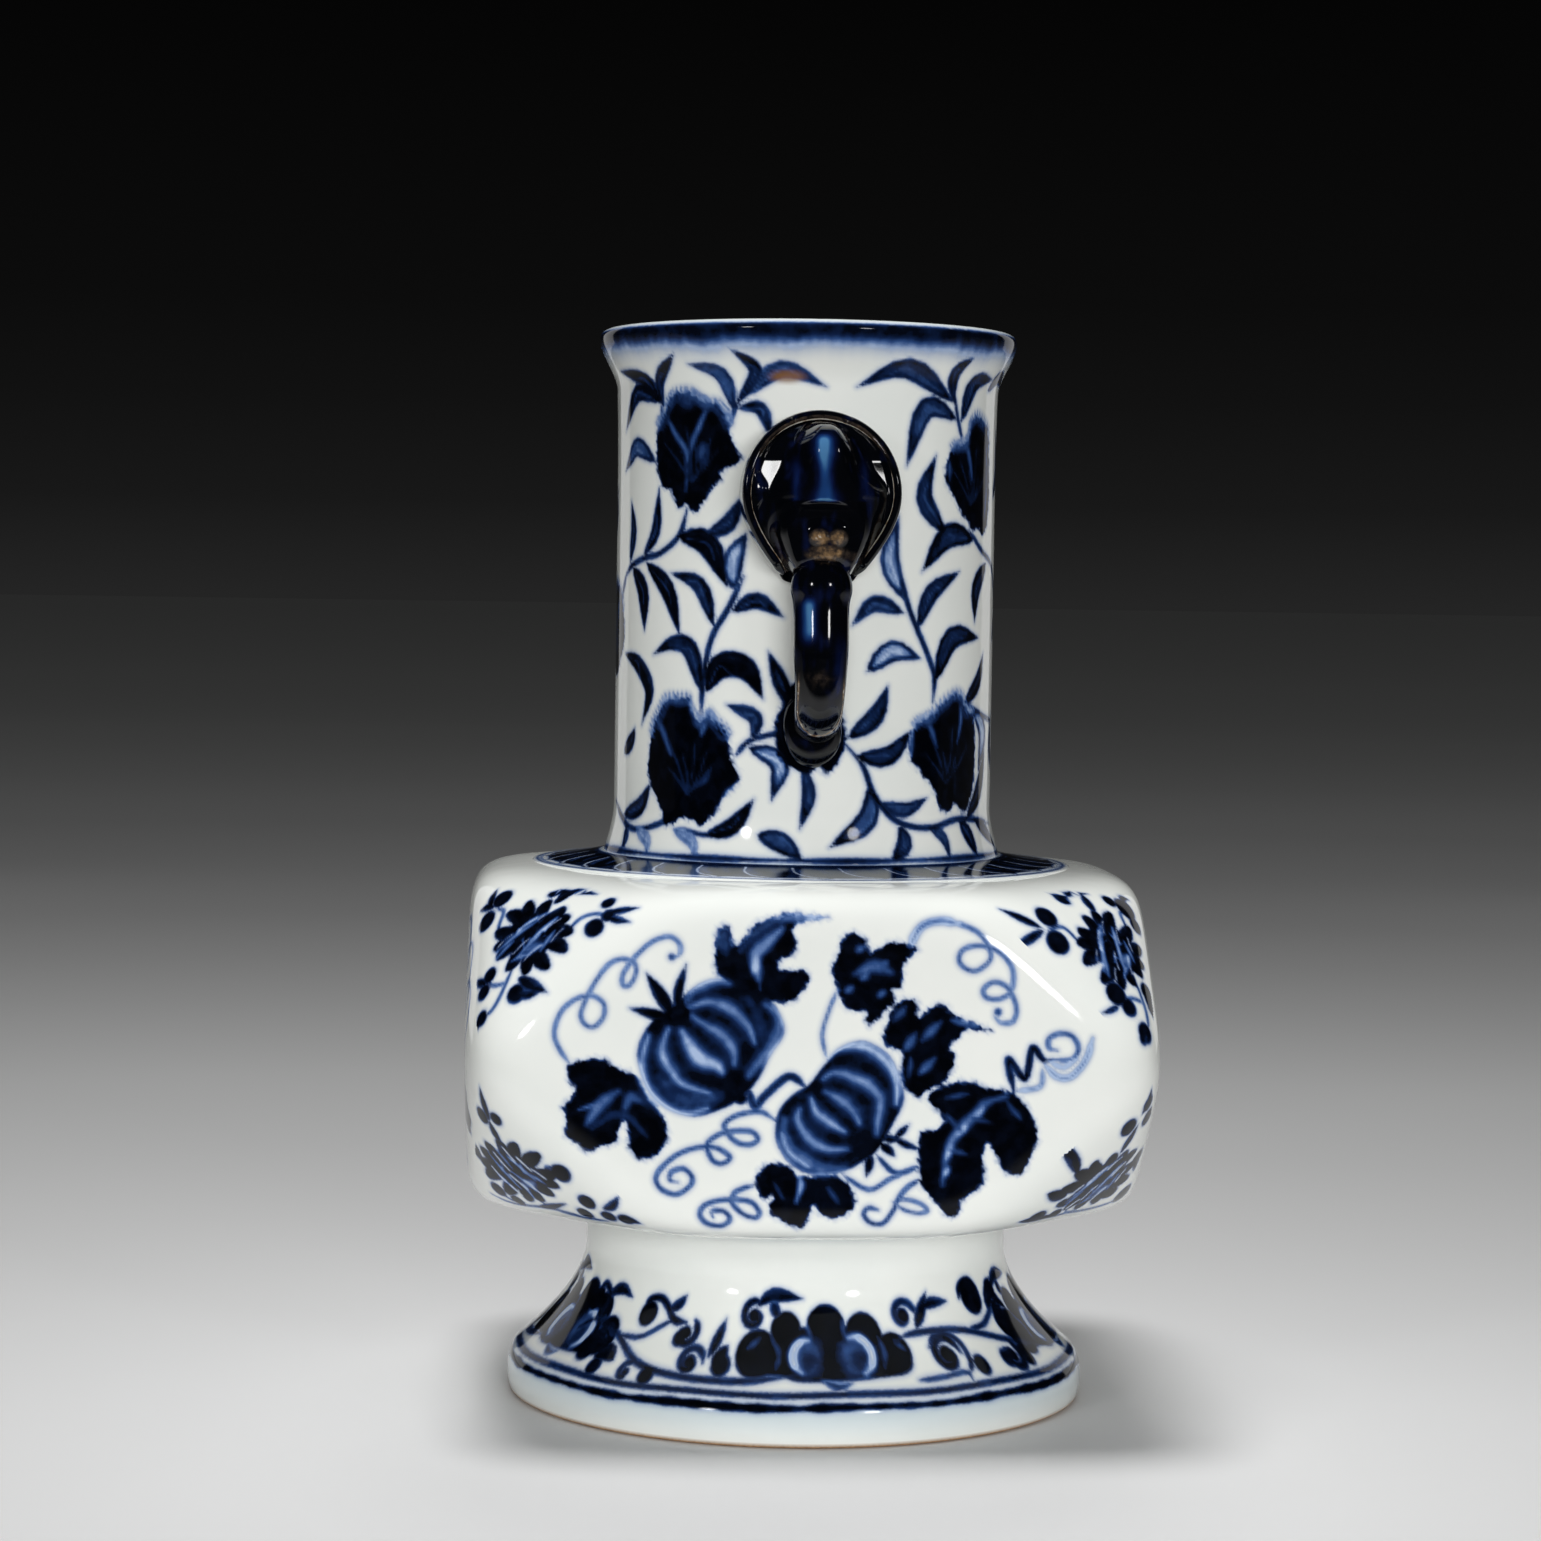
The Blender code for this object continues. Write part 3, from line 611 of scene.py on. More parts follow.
def melon_branch(ground):
    """One side's branch, across x and up z: two melons, six lobed leaves, tendrils that curl and loop."""
    draw(ground, 0.0, [
        (line, [(-32.6, 51.9), (-34.1, 54.1), (-34.6, 56), (-33.8, 58.5), (-31.9, 60.2), (-29.8, 60.7),
         (-28.3, 59.8), (-28.2, 58.2), (-29.3, 56.8), (-30.5, 56.9), (-31.2, 58.2), (-30.5, 60.4),
         (-29.1, 62.9), (-27.6, 64.8), (-26, 65.5), (-24.4, 65.1), (-24.1, 63.8), (-24.9, 62.2),
         (-25.8, 62.2), (-25.8, 63.5), (-24.8, 65.1), (-23.8, 66.3), (-21.9, 67.9), (-19.8, 68.5),
         (-18.5, 67.6), (-18.5, 66.3), (-19.4, 65.8)], 0.65, 0.5, 0.04),
        (dot, [(-19.5, 65.9)], 0.5, 0.35),
        (line, [(-5.8, 44.8), (-7.6, 45.8), (-9.4, 45.7), (-11.3, 45.1), (-12.4, 44.1), (-11.9, 42.9),
         (-10.7, 41.8), (-9.1, 41.5), (-8, 42.2), (-8.8, 43.2), (-11, 43.3), (-12.9, 42.9), (-14.4, 41.9),
         (-14.6, 41), (-13.8, 39.4), (-12.6, 39), (-11.6, 39.8), (-12.6, 40.7), (-14.1, 41.2), (-16.3, 41),
         (-18.5, 40.1), (-20.4, 38.5), (-21.2, 36.9), (-20.4, 35.5), (-18.5, 34.9), (-16.8, 36),
         (-16.5, 37.2), (-17.6, 38.3), (-19.1, 37.9), (-19.4, 36.8), (-18.3, 36.5)], 0.75, 0.42, 0.04),
        (line, [(-8.2, 36.2), (-9.8, 35.8), (-11, 35.1), (-11.2, 33.8), (-9.8, 32.4), (-8.2, 31.9),
         (-7.7, 32.7), (-8.8, 34), (-11, 34.3), (-13.2, 34.1), (-14.8, 33.5), (-15.4, 32.2), (-14.4, 31),
         (-12.6, 30.7), (-11.5, 31.6), (-12.2, 32.7), (-13.8, 32.7), (-13.7, 31.9)], 0.75, 0.4, 0.05),
        (line, [(2.1, 61.8), (1, 59.1), (0.2, 56), (0.7, 53.2)], 0.55, 0.5),
        (line, [(15, 70.8), (17.9, 70.5), (20.4, 69.4), (21.6, 67.9), (22.1, 66.3), (21.3, 65.1),
         (19.8, 64.4), (18.3, 65.1), (17.9, 66.3), (18.8, 67.4), (21, 67.7), (23.2, 66.9), (24.8, 65.1),
         (25.1, 63.2), (24.6, 61.6), (23.2, 60.8), (21.5, 61), (21.2, 62.1), (22.6, 63), (24.4, 62.2),
         (25.5, 59.8), (25.1, 57.9), (23.5, 57.7), (22.7, 58.5)], 0.7, 0.5, 0.05),
        (line, [(11.3, 67.4), (12.9, 70.1), (15.4, 70.9), (17.9, 70.5)], 1.1, 0.72),
        (dot, [(23.1, 59.1)], 0.55, 0.4),
        (line, [(13.5, 37.2), (11.6, 36), (10.4, 34.4), (9.8, 32.9), (8.5, 31.2), (6.9, 31.3), (6, 32.4),
         (6.6, 33.3), (7.9, 33)], 0.75, 0.38, 0.08),
        (line, [(9.8, 34.1), (11.6, 34.4), (13.5, 33.8), (14.3, 32.9), (12.9, 32.6), (11, 33.2),
         (10.1, 34)], 0.6, 0.45),
        (line, [(-9.4, 49.1), (-8.5, 46.6), (-7.2, 47.9), (-4.8, 50.1), (-3.5, 50.4),
         (-1.9, 49.1)], 1.2, 0.25),
        (line, [(7.6, 40.1), (10.1, 37.9), (13, 38.8)], 0.8, 0.3),
        (line, [(3.2, 37.6), (6.6, 35.7), (9.4, 37.2), (11.5, 38)], 0.7, 0.4),
        (line, [(25.4, 48.5), (24.6, 52.9), (26.8, 50.4), (27.7, 54.4), (29.1, 52.9),
         (30.4, 52.9)], 1.1, 0.12),
        (line, [(30.4, 52.9), (32.9, 52.9), (33.8, 54.4), (32.9, 56), (31.3, 56.3), (29.9, 55.7),
         (29.9, 54.4), (31, 54.1)], 0.75, 0.45),
        (line, [(29.4, 52.2), (31, 50.7), (32.9, 50.7), (34.8, 52.9), (35.7, 55.7)], 0.9, 0.75),
        (line, [(30.1, 52.6), (31.9, 51.9), (33.8, 53.2)], 0.6, 0.8),
        (line, [(26, 48.8), (28.8, 49.4), (29.1, 51.6)], 0.7, 0.7),
        (patch, [(-32.6, 51.9), (-28.5, 52.7), (-26.6, 51.6), (-23.8, 50.4), (-22.2, 47.9), (-20.7, 45.7),
         (-19.6, 42.9), (-20.4, 40.7), (-22.6, 39.4), (-24.1, 39.8), (-24.9, 41.3), (-24.8, 42.9),
         (-25.5, 44.3), (-26.2, 42.9), (-26.3, 41.6), (-28.2, 41), (-30.4, 40.2), (-31.3, 41.3),
         (-33, 42.3), (-33, 44.8), (-33.5, 46.3), (-31.8, 48.2), (-32.7, 49.8)], 0.03, 0.22),
        (soften, [(-30.2, 44), (-28.6, 46.6), (-26.3, 48.3)], 1.7, 0.66),
        (soften, [(-25.4, 46), (-24.5, 47.6), (-22.8, 47)], 1.5, 0.6),
        (soften, [(-29.6, 43.4), (-27, 45.2), (-24.6, 44.8), (-22.4, 42.4)], 1.1, 0.36),
        (soften, [(-31.4, 45.8), (-29.4, 46.6)], 0.5, 0.7),
        (patch, [(-14, 65.7), (-13.8, 69.1), (-12.7, 70.2), (-11.8, 69.4), (-11.5, 67.6), (-10.1, 68.5),
         (-8.8, 70.4), (-6, 71.3), (-4.4, 71.9), (-1.6, 71.6), (0.9, 71.2), (-1.8, 70.6), (-3.8, 69.8),
         (-3.3, 67.9), (-3.7, 66.3), (-5.4, 65.7), (-5.2, 64.4), (-2.2, 64.4), (-1.5, 63.2), (-2.9, 61),
         (-4.1, 60.1), (-7.9, 60.1), (-11, 61.3), (-13.5, 63.5)], 0.03, 0.22),
        (soften, [(-12.8, 69.8), (-12.9, 68), (-12.4, 66.6)], 2.0, 0.42),
        (soften, [(-10.6, 66.8), (-8.4, 69.4), (-6, 70.9), (-3.4, 71.2)], 1.5, 0.46),
        (soften, [(-8.2, 63.2), (-8.6, 66.3), (-7.2, 67.8), (-5.2, 69.8)], 1.9, 0.8),
        (soften, [(-8.8, 64), (-8.5, 65.6)], 1.0, 1.0), (soften, [(-8, 62.8), (-8.2, 60)], 0.5, 0.5),
        (soften, [(-5, 71), (-1.5, 71.3), (1, 71.2)], 1.6, 0.65),
        (patch, [(1.3, 64.4), (2.1, 66.9), (2.7, 68.8), (4.1, 69.4), (5.7, 68.5), (6.3, 66.9), (7.9, 67.6),
         (9.1, 68.3), (11, 67.9), (12.6, 67.1), (10.8, 65.4), (10.5, 62.2), (9.4, 61.9), (9.8, 60.7),
         (8.5, 59.1), (6.5, 57.1), (5.7, 57.9), (5.7, 59), (3.8, 59.1), (2.6, 60.4),
         (2.1, 61.9)], 0.03, 0.22),
        (soften, [(4.4, 64), (6.8, 65), (9, 64.2)], 1.7, 0.62),
        (soften, [(7.7, 64.9), (8.6, 65.6)], 1.0, 0.6), (soften, [(5.1, 63.2), (6, 63.9)], 1.0, 0.6),
        (soften, [(3.2, 61.6), (4.1, 62.3)], 1.0, 0.6), (soften, [(4.5, 66.8), (5.4, 67.5)], 1.0, 0.6),
        (soften, [(7.4, 61), (8.3, 61.7)], 1.0, 0.6),
        (patch, [(8.2, 54.8), (8.5, 57.2), (9.4, 59.8), (11, 60.8), (12.6, 60.4), (12.7, 58.5),
         (14.4, 59.8), (16.3, 60.1), (17.2, 58.8), (20.4, 57.6), (22.4, 56.6), (19.1, 56.6), (17.9, 55.4),
         (16.8, 54.4), (17.6, 53.5), (17.2, 51.3), (15.7, 49.4), (14.1, 48.8), (12.9, 47.7), (11.6, 48.5),
         (10.7, 49.1), (10.4, 51.6), (10.7, 53.5)], 0.03, 0.22),
        (soften, [(11, 54.1), (12.4, 56.2)], 1.3, 0.6), (soften, [(13.2, 55.4), (15.6, 57.7)], 1.3, 0.6),
        (soften, [(13, 51), (15, 53)], 1.3, 0.6), (soften, [(9.4, 57.8), (11, 59.6)], 1.3, 0.5),
        (soften, [(17, 58), (20.4, 57.2)], 0.9, 0.6), (soften, [(11.6, 50.4), (11.8, 53)], 0.8, 0.5),
        (patch, [(14.1, 48.2), (16, 49.4), (18.5, 50.1), (20.7, 49.8), (21.9, 49.1), (23.8, 49.1),
         (26, 48.2), (27.2, 46.6), (28.2, 44.8), (28.7, 42.2), (27.9, 40.1), (26.9, 37.9), (25.1, 37.6),
         (23.8, 38.8), (22.9, 40.7), (22.1, 41.8), (21.5, 40.4), (21.8, 38.5), (21.6, 36.6), (20.3, 35.2),
         (18.8, 34.1), (18.5, 32.6), (17.2, 31.9), (16, 33.2), (14.4, 35.1), (13.3, 36.6), (12.9, 39.1),
         (13, 41.6), (13.2, 43.3), (15.1, 43.7), (16.2, 44.8), (15.4, 46), (14.4, 46.9)], 0.03, 0.22),
        (soften, [(16.2, 36.4), (16.9, 41.2), (18.3, 43.5), (20.1, 45.4), (21.8, 47.2),
         (24.4, 48.1)], 1.5, 0.66),
        (soften, [(16.4, 37.6), (17, 38.6)], 0.8, 0.95),
        (soften, [(16.7, 40), (17.4, 41.4)], 0.8, 0.95),
        (soften, [(18.2, 43), (19.2, 44.2)], 0.8, 0.95),
        (soften, [(20.2, 45.2), (21.4, 46.4)], 0.8, 0.95),
        (soften, [(18.5, 43.5), (16.6, 45.6)], 0.8, 0.45),
        (soften, [(20.1, 45.1), (22.6, 44.6)], 0.8, 0.45), (soften, [(17.2, 41), (19.4, 40.4)], 0.8, 0.45),
        (soften, [(16.6, 47.8), (19.4, 48.4)], 0.8, 0.45),
        (soften, [(24.6, 47.2), (26.4, 45)], 0.8, 0.45),
        (patch, [(-8.2, 37.2), (-7.2, 38.8), (-5, 39.1), (-3.5, 38.5), (-2.6, 37.6), (-0.2, 37.5),
         (1, 37.9), (3.2, 37.2), (4.4, 35.7), (4.9, 33.8), (3.5, 32.2), (1.6, 31.8), (0.1, 32.6),
         (-0.6, 33.5), (-1.2, 31.6), (-2.4, 30.4), (-4.4, 31.3), (-6, 32.2), (-6.5, 33.5), (-6, 34.8),
         (-7.2, 34.4), (-8.2, 36)], 0.03, 0.22),
        (soften, [(-2.6, 38), (-2.3, 36.2), (-2.9, 34)], 0.9, 0.85),
        (soften, [(-5.8, 36.6), (-4.6, 34.4)], 0.6, 0.4), (soften, [(1.2, 36), (2.6, 34)], 0.8, 0.4)])
    melon(
        ground,
        [(-23.8, 54), (-23.6, 51.6), (-22.2, 48.2), (-19.7, 46), (-16.3, 45.1), (-12.9, 46), (-10.1, 47.6),
         (-7.9, 50.2), (-6.4, 53.4), (-4.9, 55.6), (-4.8, 57.3), (-6.3, 60.1), (-9.4, 62.4), (-12.9, 63.2),
         (-16, 62.4), (-19.1, 59.9), (-22.2, 57.4)],
        [([(-20.8, 50.2), (-18.6, 47.6), (-15, 47.4), (-13, 47.8)], 2.0, 0.4),
         ([(-22.4, 55.6), (-23.1, 53), (-23.1, 51), (-22.3, 48.7), (-20.9, 47), (-19, 45.9), (-17, 45.6),
          (-14.6, 46.2)], 0.75, 0.9),
         ([(-19.8, 56.6), (-20.4, 55), (-20.6, 53.6), (-20.1, 52.2), (-19.2, 50.8), (-17.8, 49.3),
          (-14.4, 48.2)], 0.75, 0.88),
         ([(-18, 56.2), (-17.1, 54.6), (-16.2, 53.2), (-15.1, 52.4), (-13.6, 51.9),
          (-12.8, 51)], 1.35, 0.98),
         ([(-17, 58.4), (-15, 57.1), (-13.4, 56.2), (-12, 55), (-11.3, 53.6), (-11.2, 52)], 0.9, 0.76),
         ([(-17.2, 59.4), (-15, 60.1), (-13.4, 59.9), (-11.8, 59.2), (-10.3, 58), (-9.2, 56.6),
          (-8.6, 54.8)], 0.95, 0.78),
         ([(-17.6, 60.2), (-16.4, 61.7), (-15, 62.5), (-13.6, 62.8), (-12, 62.5)], 0.8, 0.75),
         ([(-9.4, 60.4), (-8, 57.8), (-7.6, 54.8)], 1.2, 0.35),
         ([(-7.2, 59.8), (-5.8, 58.6), (-5.3, 57), (-5.9, 55.2), (-7, 53.4), (-8.3, 51.9),
          (-9.3, 50.5)], 1.2, 0.7)],
        [([(-19, 57.8), (-20.8, 60.8), (-22.8, 63.8)], 1.8),
         ([(-18.6, 58.2), (-18.6, 61.4), (-17.6, 65)], 1.3),
         ([(-18.6, 57.6), (-21.6, 58.4), (-24.9, 59.2)], 1.5),
         ([(-19.6, 58), (-18.4, 58.3), (-17.2, 58.8)], 2.0)])
    dot(ground, [(-10.3, 47.6)], 0.9, 0.05)
    melon(
        ground,
        [(-5.8, 43.8), (-5.2, 46.3), (-3.5, 48.2), (-1.6, 49.4), (0.1, 51.6), (2.2, 54.1), (4.8, 55.2),
         (6.9, 54.8), (9.1, 53.2), (10.4, 50.4), (11, 47.4), (9.4, 43.8), (7.6, 40.7), (5.4, 39.1),
         (2.9, 37.9), (-0.7, 37.6), (-3.5, 38.8), (-5.4, 41.3)],
        [([(0.9, 53), (2, 54), (3.7, 54.5), (5.8, 54.4), (7.2, 53.7), (8.5, 52.6), (9.4, 51.4), (9.9, 50),
          (10.1, 48.6), (10, 47)], 0.75, 1.05),
         ([(0.4, 50.2), (1.6, 51), (2.8, 50.9), (4.4, 50.3), (5.8, 49.8), (6.9, 49), (7.8, 47.8),
          (7.9, 46.6), (7.6, 44.6), (7.5, 43)], 0.85, 0.8),
         ([(0.7, 48.5), (2.2, 47.8), (3.4, 46.9), (4.4, 45.9), (5.2, 44.4)], 0.9, 0.74),
         ([(-1.1, 47.6), (-0.5, 45.9), (0.6, 45), (1.9, 44.1), (3.3, 43.3)], 0.75, 0.92),
         ([(-2.6, 46.2), (-2.9, 45), (-2.3, 43.6), (-1.3, 42.3), (-0.1, 41.5), (1.3, 41),
          (3.6, 41)], 0.8, 0.85),
         ([(-4.6, 44.8), (-4.5, 42.4), (-3.2, 40.4), (-0.9, 38.9), (1.3, 38.3), (3.4, 38.5)], 1.4, 0.62),
         ([(-4.9, 43), (-3.9, 40.6), (-1.4, 38.7)], 0.5, 0.95)],
        [([(9.8, 42.4), (10.6, 43.2), (11.7, 44.3)], 0.9), ([(9.6, 42.6), (11, 41.8), (13.2, 41)], 0.9),
         ([(7.9, 41.8), (9, 41), (9.9, 40.1)], 1.2), ([(6.8, 40.4), (6.6, 39), (6.2, 37.4)], 1.2),
         ([(8.4, 42.6), (9.2, 42.4), (10.2, 42.3)], 1.1)])


def toward(angle):
    """The unit step at an angle from u to v."""
    return np.array([math.cos(angle), math.sin(angle)])


def chrysanthemum(ground, x, y, across, up, petals, turn=0.0, slit=0.0):
    """A flower head: dark pointed petals round a dark heart, with mid-blue ground showing between them.

    Thin gaps of width slit are left between its strokes. At 0 the strokes only fire paler along them.
    """
    rim = np.linspace(0, math.tau, 13)[:-1]
    patch(ground, np.stack([x + 0.68 * across * np.cos(rim), y + 0.68 * up * np.sin(rim)], axis=1), 0.62)
    middle = np.array([x, y])
    for k in range(petals):
        a = turn + math.tau * k / petals
        stretch = 1.0 + 0.13 * math.sin(5.3 * k + x)
        way = toward(a) * (across, up)
        bend = 0.5 * math.sin(2.1 * k + y) * toward(a)[::-1] * (-1, 1)
        points = [middle + 0.45 * way, middle + 0.75 * way + bend, middle + stretch * way]
        leaf(ground, points, 2.35, 0.02, power=0.6)
    for k in range(9):
        a = 2.4 * k + turn
        centre = middle + (0.1 + 0.055 * k) * toward(a) * (across, up)
        points = [centre - 1.5 * toward(a + 0.6), centre, centre + 1.5 * toward(a)]
        leaf(ground, points, 1.3, 0.02, power=0.6)
    for dx, dy, run, lean, tone in (
            (-2.6, -0.4, 3.4, 0.75, 0.85), (0.6, -1.6, 2.0, 1.0, 0.8), (1.6, 1.0, 2.4, 0.95, 0.9),
            (-1.0, 2.2, 1.8, 0.7, 0.7), (3.4, -0.6, 1.6, 1.3, 0.75), (-3.4, -2.6, 1.5, 0.9, 0.8),
            (0.2, -3.6, 1.4, 0.4, 0.8)):
        way = run * toward(lean + 0.5 * turn)
        at = middle + (dx, dy)
        soften(ground, [at - way, at + (0, 0.2), at + way], 0.75, tone)
    soften(ground, [(x + 0.5, y - 2.4), (x + 2.6, y - 1.4)], 1.7, 0.62)
    for dx, dy, run, lean in (
            (-1.9, 1.5, 1.6, 0.75), (1.9, -2.7, 1.5, 0.9), (2.7, 1.9, 1.3, 0.85), (-4.3, -1.2, 1.3, 0.8),
            (-0.7, -1.9, 1.4, 0.95), (4.5, 0.4, 1.1, 1.1), (0.6, 3.4, 1.2, 0.7), (-2.4, -3.9, 1.0, 0.8)):
        way = run * toward(lean + 0.5 * turn)
        at = middle + (dx, dy)
        hollow(ground, [at - way, at + (-0.1, 0.15), at + way], slit)


def spray(ground, head, buds, leaves, stems):
    """A corner spray: stems first, then the flower head, then round buds and pointed leaves."""
    draw(ground, 0.0, [(line, points, 0.7, 0.4) for points in stems])
    chrysanthemum(ground, *head)
    draw(ground, 0.0, [(dot, [(x, y)], radius, 0.08) for x, y, radius in buds])
    draw(ground, 0.0, [(leaf, points, width, 0.1) for points, width in leaves])


# The sprays on a side's corner facets, by side (-1 left, 1 right) and level (1 upper, -1 lower): the flower
# head as chrysanthemum() takes it, then round buds, pointed leaves with their widths, and stems
SPRAYS = {
    (-1, 1): (
        (-0.4, 0.6, 7.2, 5.8, 13, 0.2),
        [(-10.3, 6.3, 1.7), (-11.0, 2.6, 1.7), (-1.6, 8.0, 1.0), (9.0, 7.2, 1.1), (9.3, 3.0, 1.5),
         (10.4, 5.2, 1.1), (-4.5, -5.9, 1.3), (-4.4, -8.3, 1.3), (2.0, -8.2, 1.5), (-2.7, -12.0, 1.2)],
        [([(-11.4, 4.8), (-12.6, 6.2), (-13.2, 8.2)], 1.4),
         ([(-10.8, 4.7), (-12.6, 4.9), (-14.4, 4.6)], 1.3), ([(-2.6, 8.2), (1.2, 8.9), (5.8, 8.6)], 1.5),
         ([(0.1, 6), (0.6, 7.2), (1.6, 8.6)], 1.6), ([(9.6, 5.4), (11.6, 6.2), (14, 7.3)], 1.1),
         ([(9.9, 5), (12, 4.8), (13.9, 5)], 1.1), ([(-4.4, -7), (-6, -6.9), (-7.6, -6.3)], 1.4),
         ([(1.2, -5.9), (3.6, -6.6), (6.4, -7)], 1.9), ([(1.8, -8.3), (3.6, -8), (5.4, -7.3)], 1.5),
         ([(-2.4, -11.4), (-3.2, -12.6), (-2.9, -13.6)], 1.4)],
        [[(-10.2, 4.6), (-8.2, 4), (-7.4, 1.4), (-5.8, 0.6)], [(5.4, 1.6), (6.4, 4), (8.4, 5.1), (10, 5)],
         [(-0.6, -4.6), (-0.5, -8.5), (-1, -10.8), (-2.4, -11.9)], [(-0.6, -7), (-2.6, -7.4), (-4.4, -7)]]),
    (1, 1): (
        (2.0, -0.8, 7.0, 6.2, 13, 0.5),
        [(-7.4, 5.2, 1.8), (-8.0, 1.2, 1.9), (-1.0, 8.2, 1.4), (8.3, 7.0, 1.2), (10.8, 5.6, 2.0),
         (11.0, 2.8, 1.4), (-2.2, -7.4, 1.8), (-0.9, -9.6, 1.4), (5.2, -7.6, 1.6), (4.9, -9.8, 1.2),
         (0.6, -13.2, 1.5)],
        [([(-9.4, 3.6), (-11.6, 5.4), (-14.2, 7.8)], 1.3), ([(-9.2, 3.3), (-12, 2.6), (-15, 2)], 1.3),
         ([(-2, 8.6), (1.4, 9.2), (5.6, 8.8)], 1.3), ([(3, 5), (3.2, 6.8), (4.2, 8.8)], 1.6),
         ([(11, 6.4), (12.4, 7.6), (14, 7.4)], 1.2), ([(-2.4, -9), (-4, -9.4), (-5.8, -9.4)], 0.8),
         ([(4.4, -7), (4.9, -9.2), (4.4, -11.2)], 2.2), ([(0.8, -13), (-0.2, -14), (-0.4, -12.8)], 1.5)],
        [[(-8.6, 3.2), (-5.6, 3.2), (-4.2, 0.6)], [(7.8, 1.4), (8.4, 4.4), (9.8, 5.4)],
         [(3.2, -6), (2.6, -10.4), (1.6, -12.8)], [(2.6, -9), (0.4, -8.4), (-1.4, -8.6)]]),
    (-1, -1): (
        (-2.2, 0.4, 7.6, 5.8, 13, 2.6, 0.26),
        [(-3.6, 9.6, 1.3), (-0.6, 9.8, 1.1), (6.4, 1.2, 1.6), (-10.2, 1.8, 1.3), (-9.0, -4.4, 1.4),
         (8.2, -3.8, 1.4), (6.2, -6.4, 1.3), (10.2, -6.6, 1.2), (12.6, -7.2, 1.2), (-6.2, -6.0, 1.2)],
        [([(-2.2, 9), (-2.1, 11.6), (-2, 14.2)], 1.3), ([(-2, 5.4), (-2.3, 7.4), (-2.2, 9.4)], 1.3),
         ([(-10.2, 1), (-10.8, 2.8), (-10, 4.6)], 1.6), ([(10.2, -5), (11.8, -4.6), (13.4, -3.2)], 1.3),
         ([(12, -6.4), (13.4, -7.4), (14.4, -8.2)], 1.5), ([(-2.8, -6.6), (0, -6), (4, -4.6)], 1.2)],
        [[(3.4, 0.2), (4.6, 2.2), (6.4, 1.4)], [(-12, -6.2), (-8, -7.2), (-2, -6.6), (2, -6.8), (6, -7.9)],
         [(-1.2, -5), (1.4, -7), (5, -7.8), (9, -7.9)], [(-8.8, -4.6), (-7.6, -6.2), (-5, -6.2)]]),
    (1, -1): (
        (1.2, -0.6, 7.0, 6.0, 13, 0.35, 0.26),
        [(-0.2, 9.2, 1.5), (2.2, 12.4, 1.2), (4.0, 10.0, 1.4), (8.2, 2.0, 1.5), (11.0, -5.2, 1.8),
         (-7.0, -6.6, 1.5), (6.6, -3.6, 1.2), (-3.4, -6.4, 1.2)],
        [([(1.6, 11), (2, 13), (1.8, 14.6)], 1.3), ([(1.4, 4.6), (1.6, 7), (1.8, 9.4)], 1.4),
         ([(-5, 1.4), (-7.6, 4), (-11.2, 6.4)], 1.9), ([(-4.6, -2.4), (-6.6, -2.2), (-8.8, -1.8)], 2.2),
         ([(-9.8, -7.4), (-7, -7.2), (-2.6, -6.9)], 1.6), ([(8, 2.2), (9, 0.8), (9.8, -0.6)], 1.5)],
        [[(-1.6, -5.4), (-0.6, -6.6), (4, -7), (9, -6.6), (11, -5.6)], [(6, 0.4), (7.4, 0.8), (8.2, 1.6)],
         [(-7, -6.8), (-3, -7.2), (1, -6.4)]])}


def paint_body(points):
    """Lay the drawings over the block: a vertex takes the frame of the side or facet that faces it most."""
    local = points - (0.0, 0.0, BODY_MIDDLE)
    normals, away = block_planes(0.0)
    facing = (local @ (normals / away[:, None]).T).argmax(axis=1)
    on_top = np.abs(local[:, 2]) > BODY_HALF_HEIGHT - 0.05
    edge = np.full(len(points), -BLEED)
    wash = np.full(len(points), 0.5)
    for plane, normal in enumerate(normals):
        where = np.flatnonzero((facing == plane) & ~on_top)
        if len(where) == 0:
            continue
        spots = local[where]
        if plane < 4:
            across = np.array([-normal[1], normal[0], 0.0])
            ground = blank((spots @ across) * (1 if plane > 1 else -1), spots[:, 2] + BODY_MIDDLE)
            melon_branch(ground)
        else:
            sx, sy, sz = np.sign(normal)
            across = np.array([-sy, sx, 0.0]) / math.sqrt(2)
            up = np.cross(normal, across)
            near = BODY_HALF - CORNER_CUT
            middle = np.array([2 * BODY_HALF + near, 2 * BODY_HALF + near, 2 * BODY_HALF_HEIGHT]) / 3
            offset = spots - middle * (sx, sy, sz)
            ground = blank(offset @ across, offset @ up)
            spray(ground, *SPRAYS[1 if sx * sy < 0 else -1, int(sz)])
        edge[where] = ground["edge"]
        wash[where] = ground["wash"]
    return edge, wash


body_porcelain = painted_porcelain("painted_porcelain_body")
for half_name, upward in (("body_upper", True), ("body_lower", False)):
    points, faces, normals = pressed_half(upward)
    edge, wash = paint_body(points)
    near_foot = smooth((3.0 - np.abs(np.hypot(points[:, 0], points[:, 1]) - STEM)) / 3.0)
    pool = np.where(points[:, 2] < FOOT_TOP + 0.1, near_foot, 0.0)
    half = add_piece(
        half_name + "_glazed", points, faces, {"paint_edge": edge, "paint_wash": wash, "pool": pool},
        body_porcelain)
    half.data.normals_split_custom_set_from_vertices(normals.tolist())
    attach(half, "root")
    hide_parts(half_name)


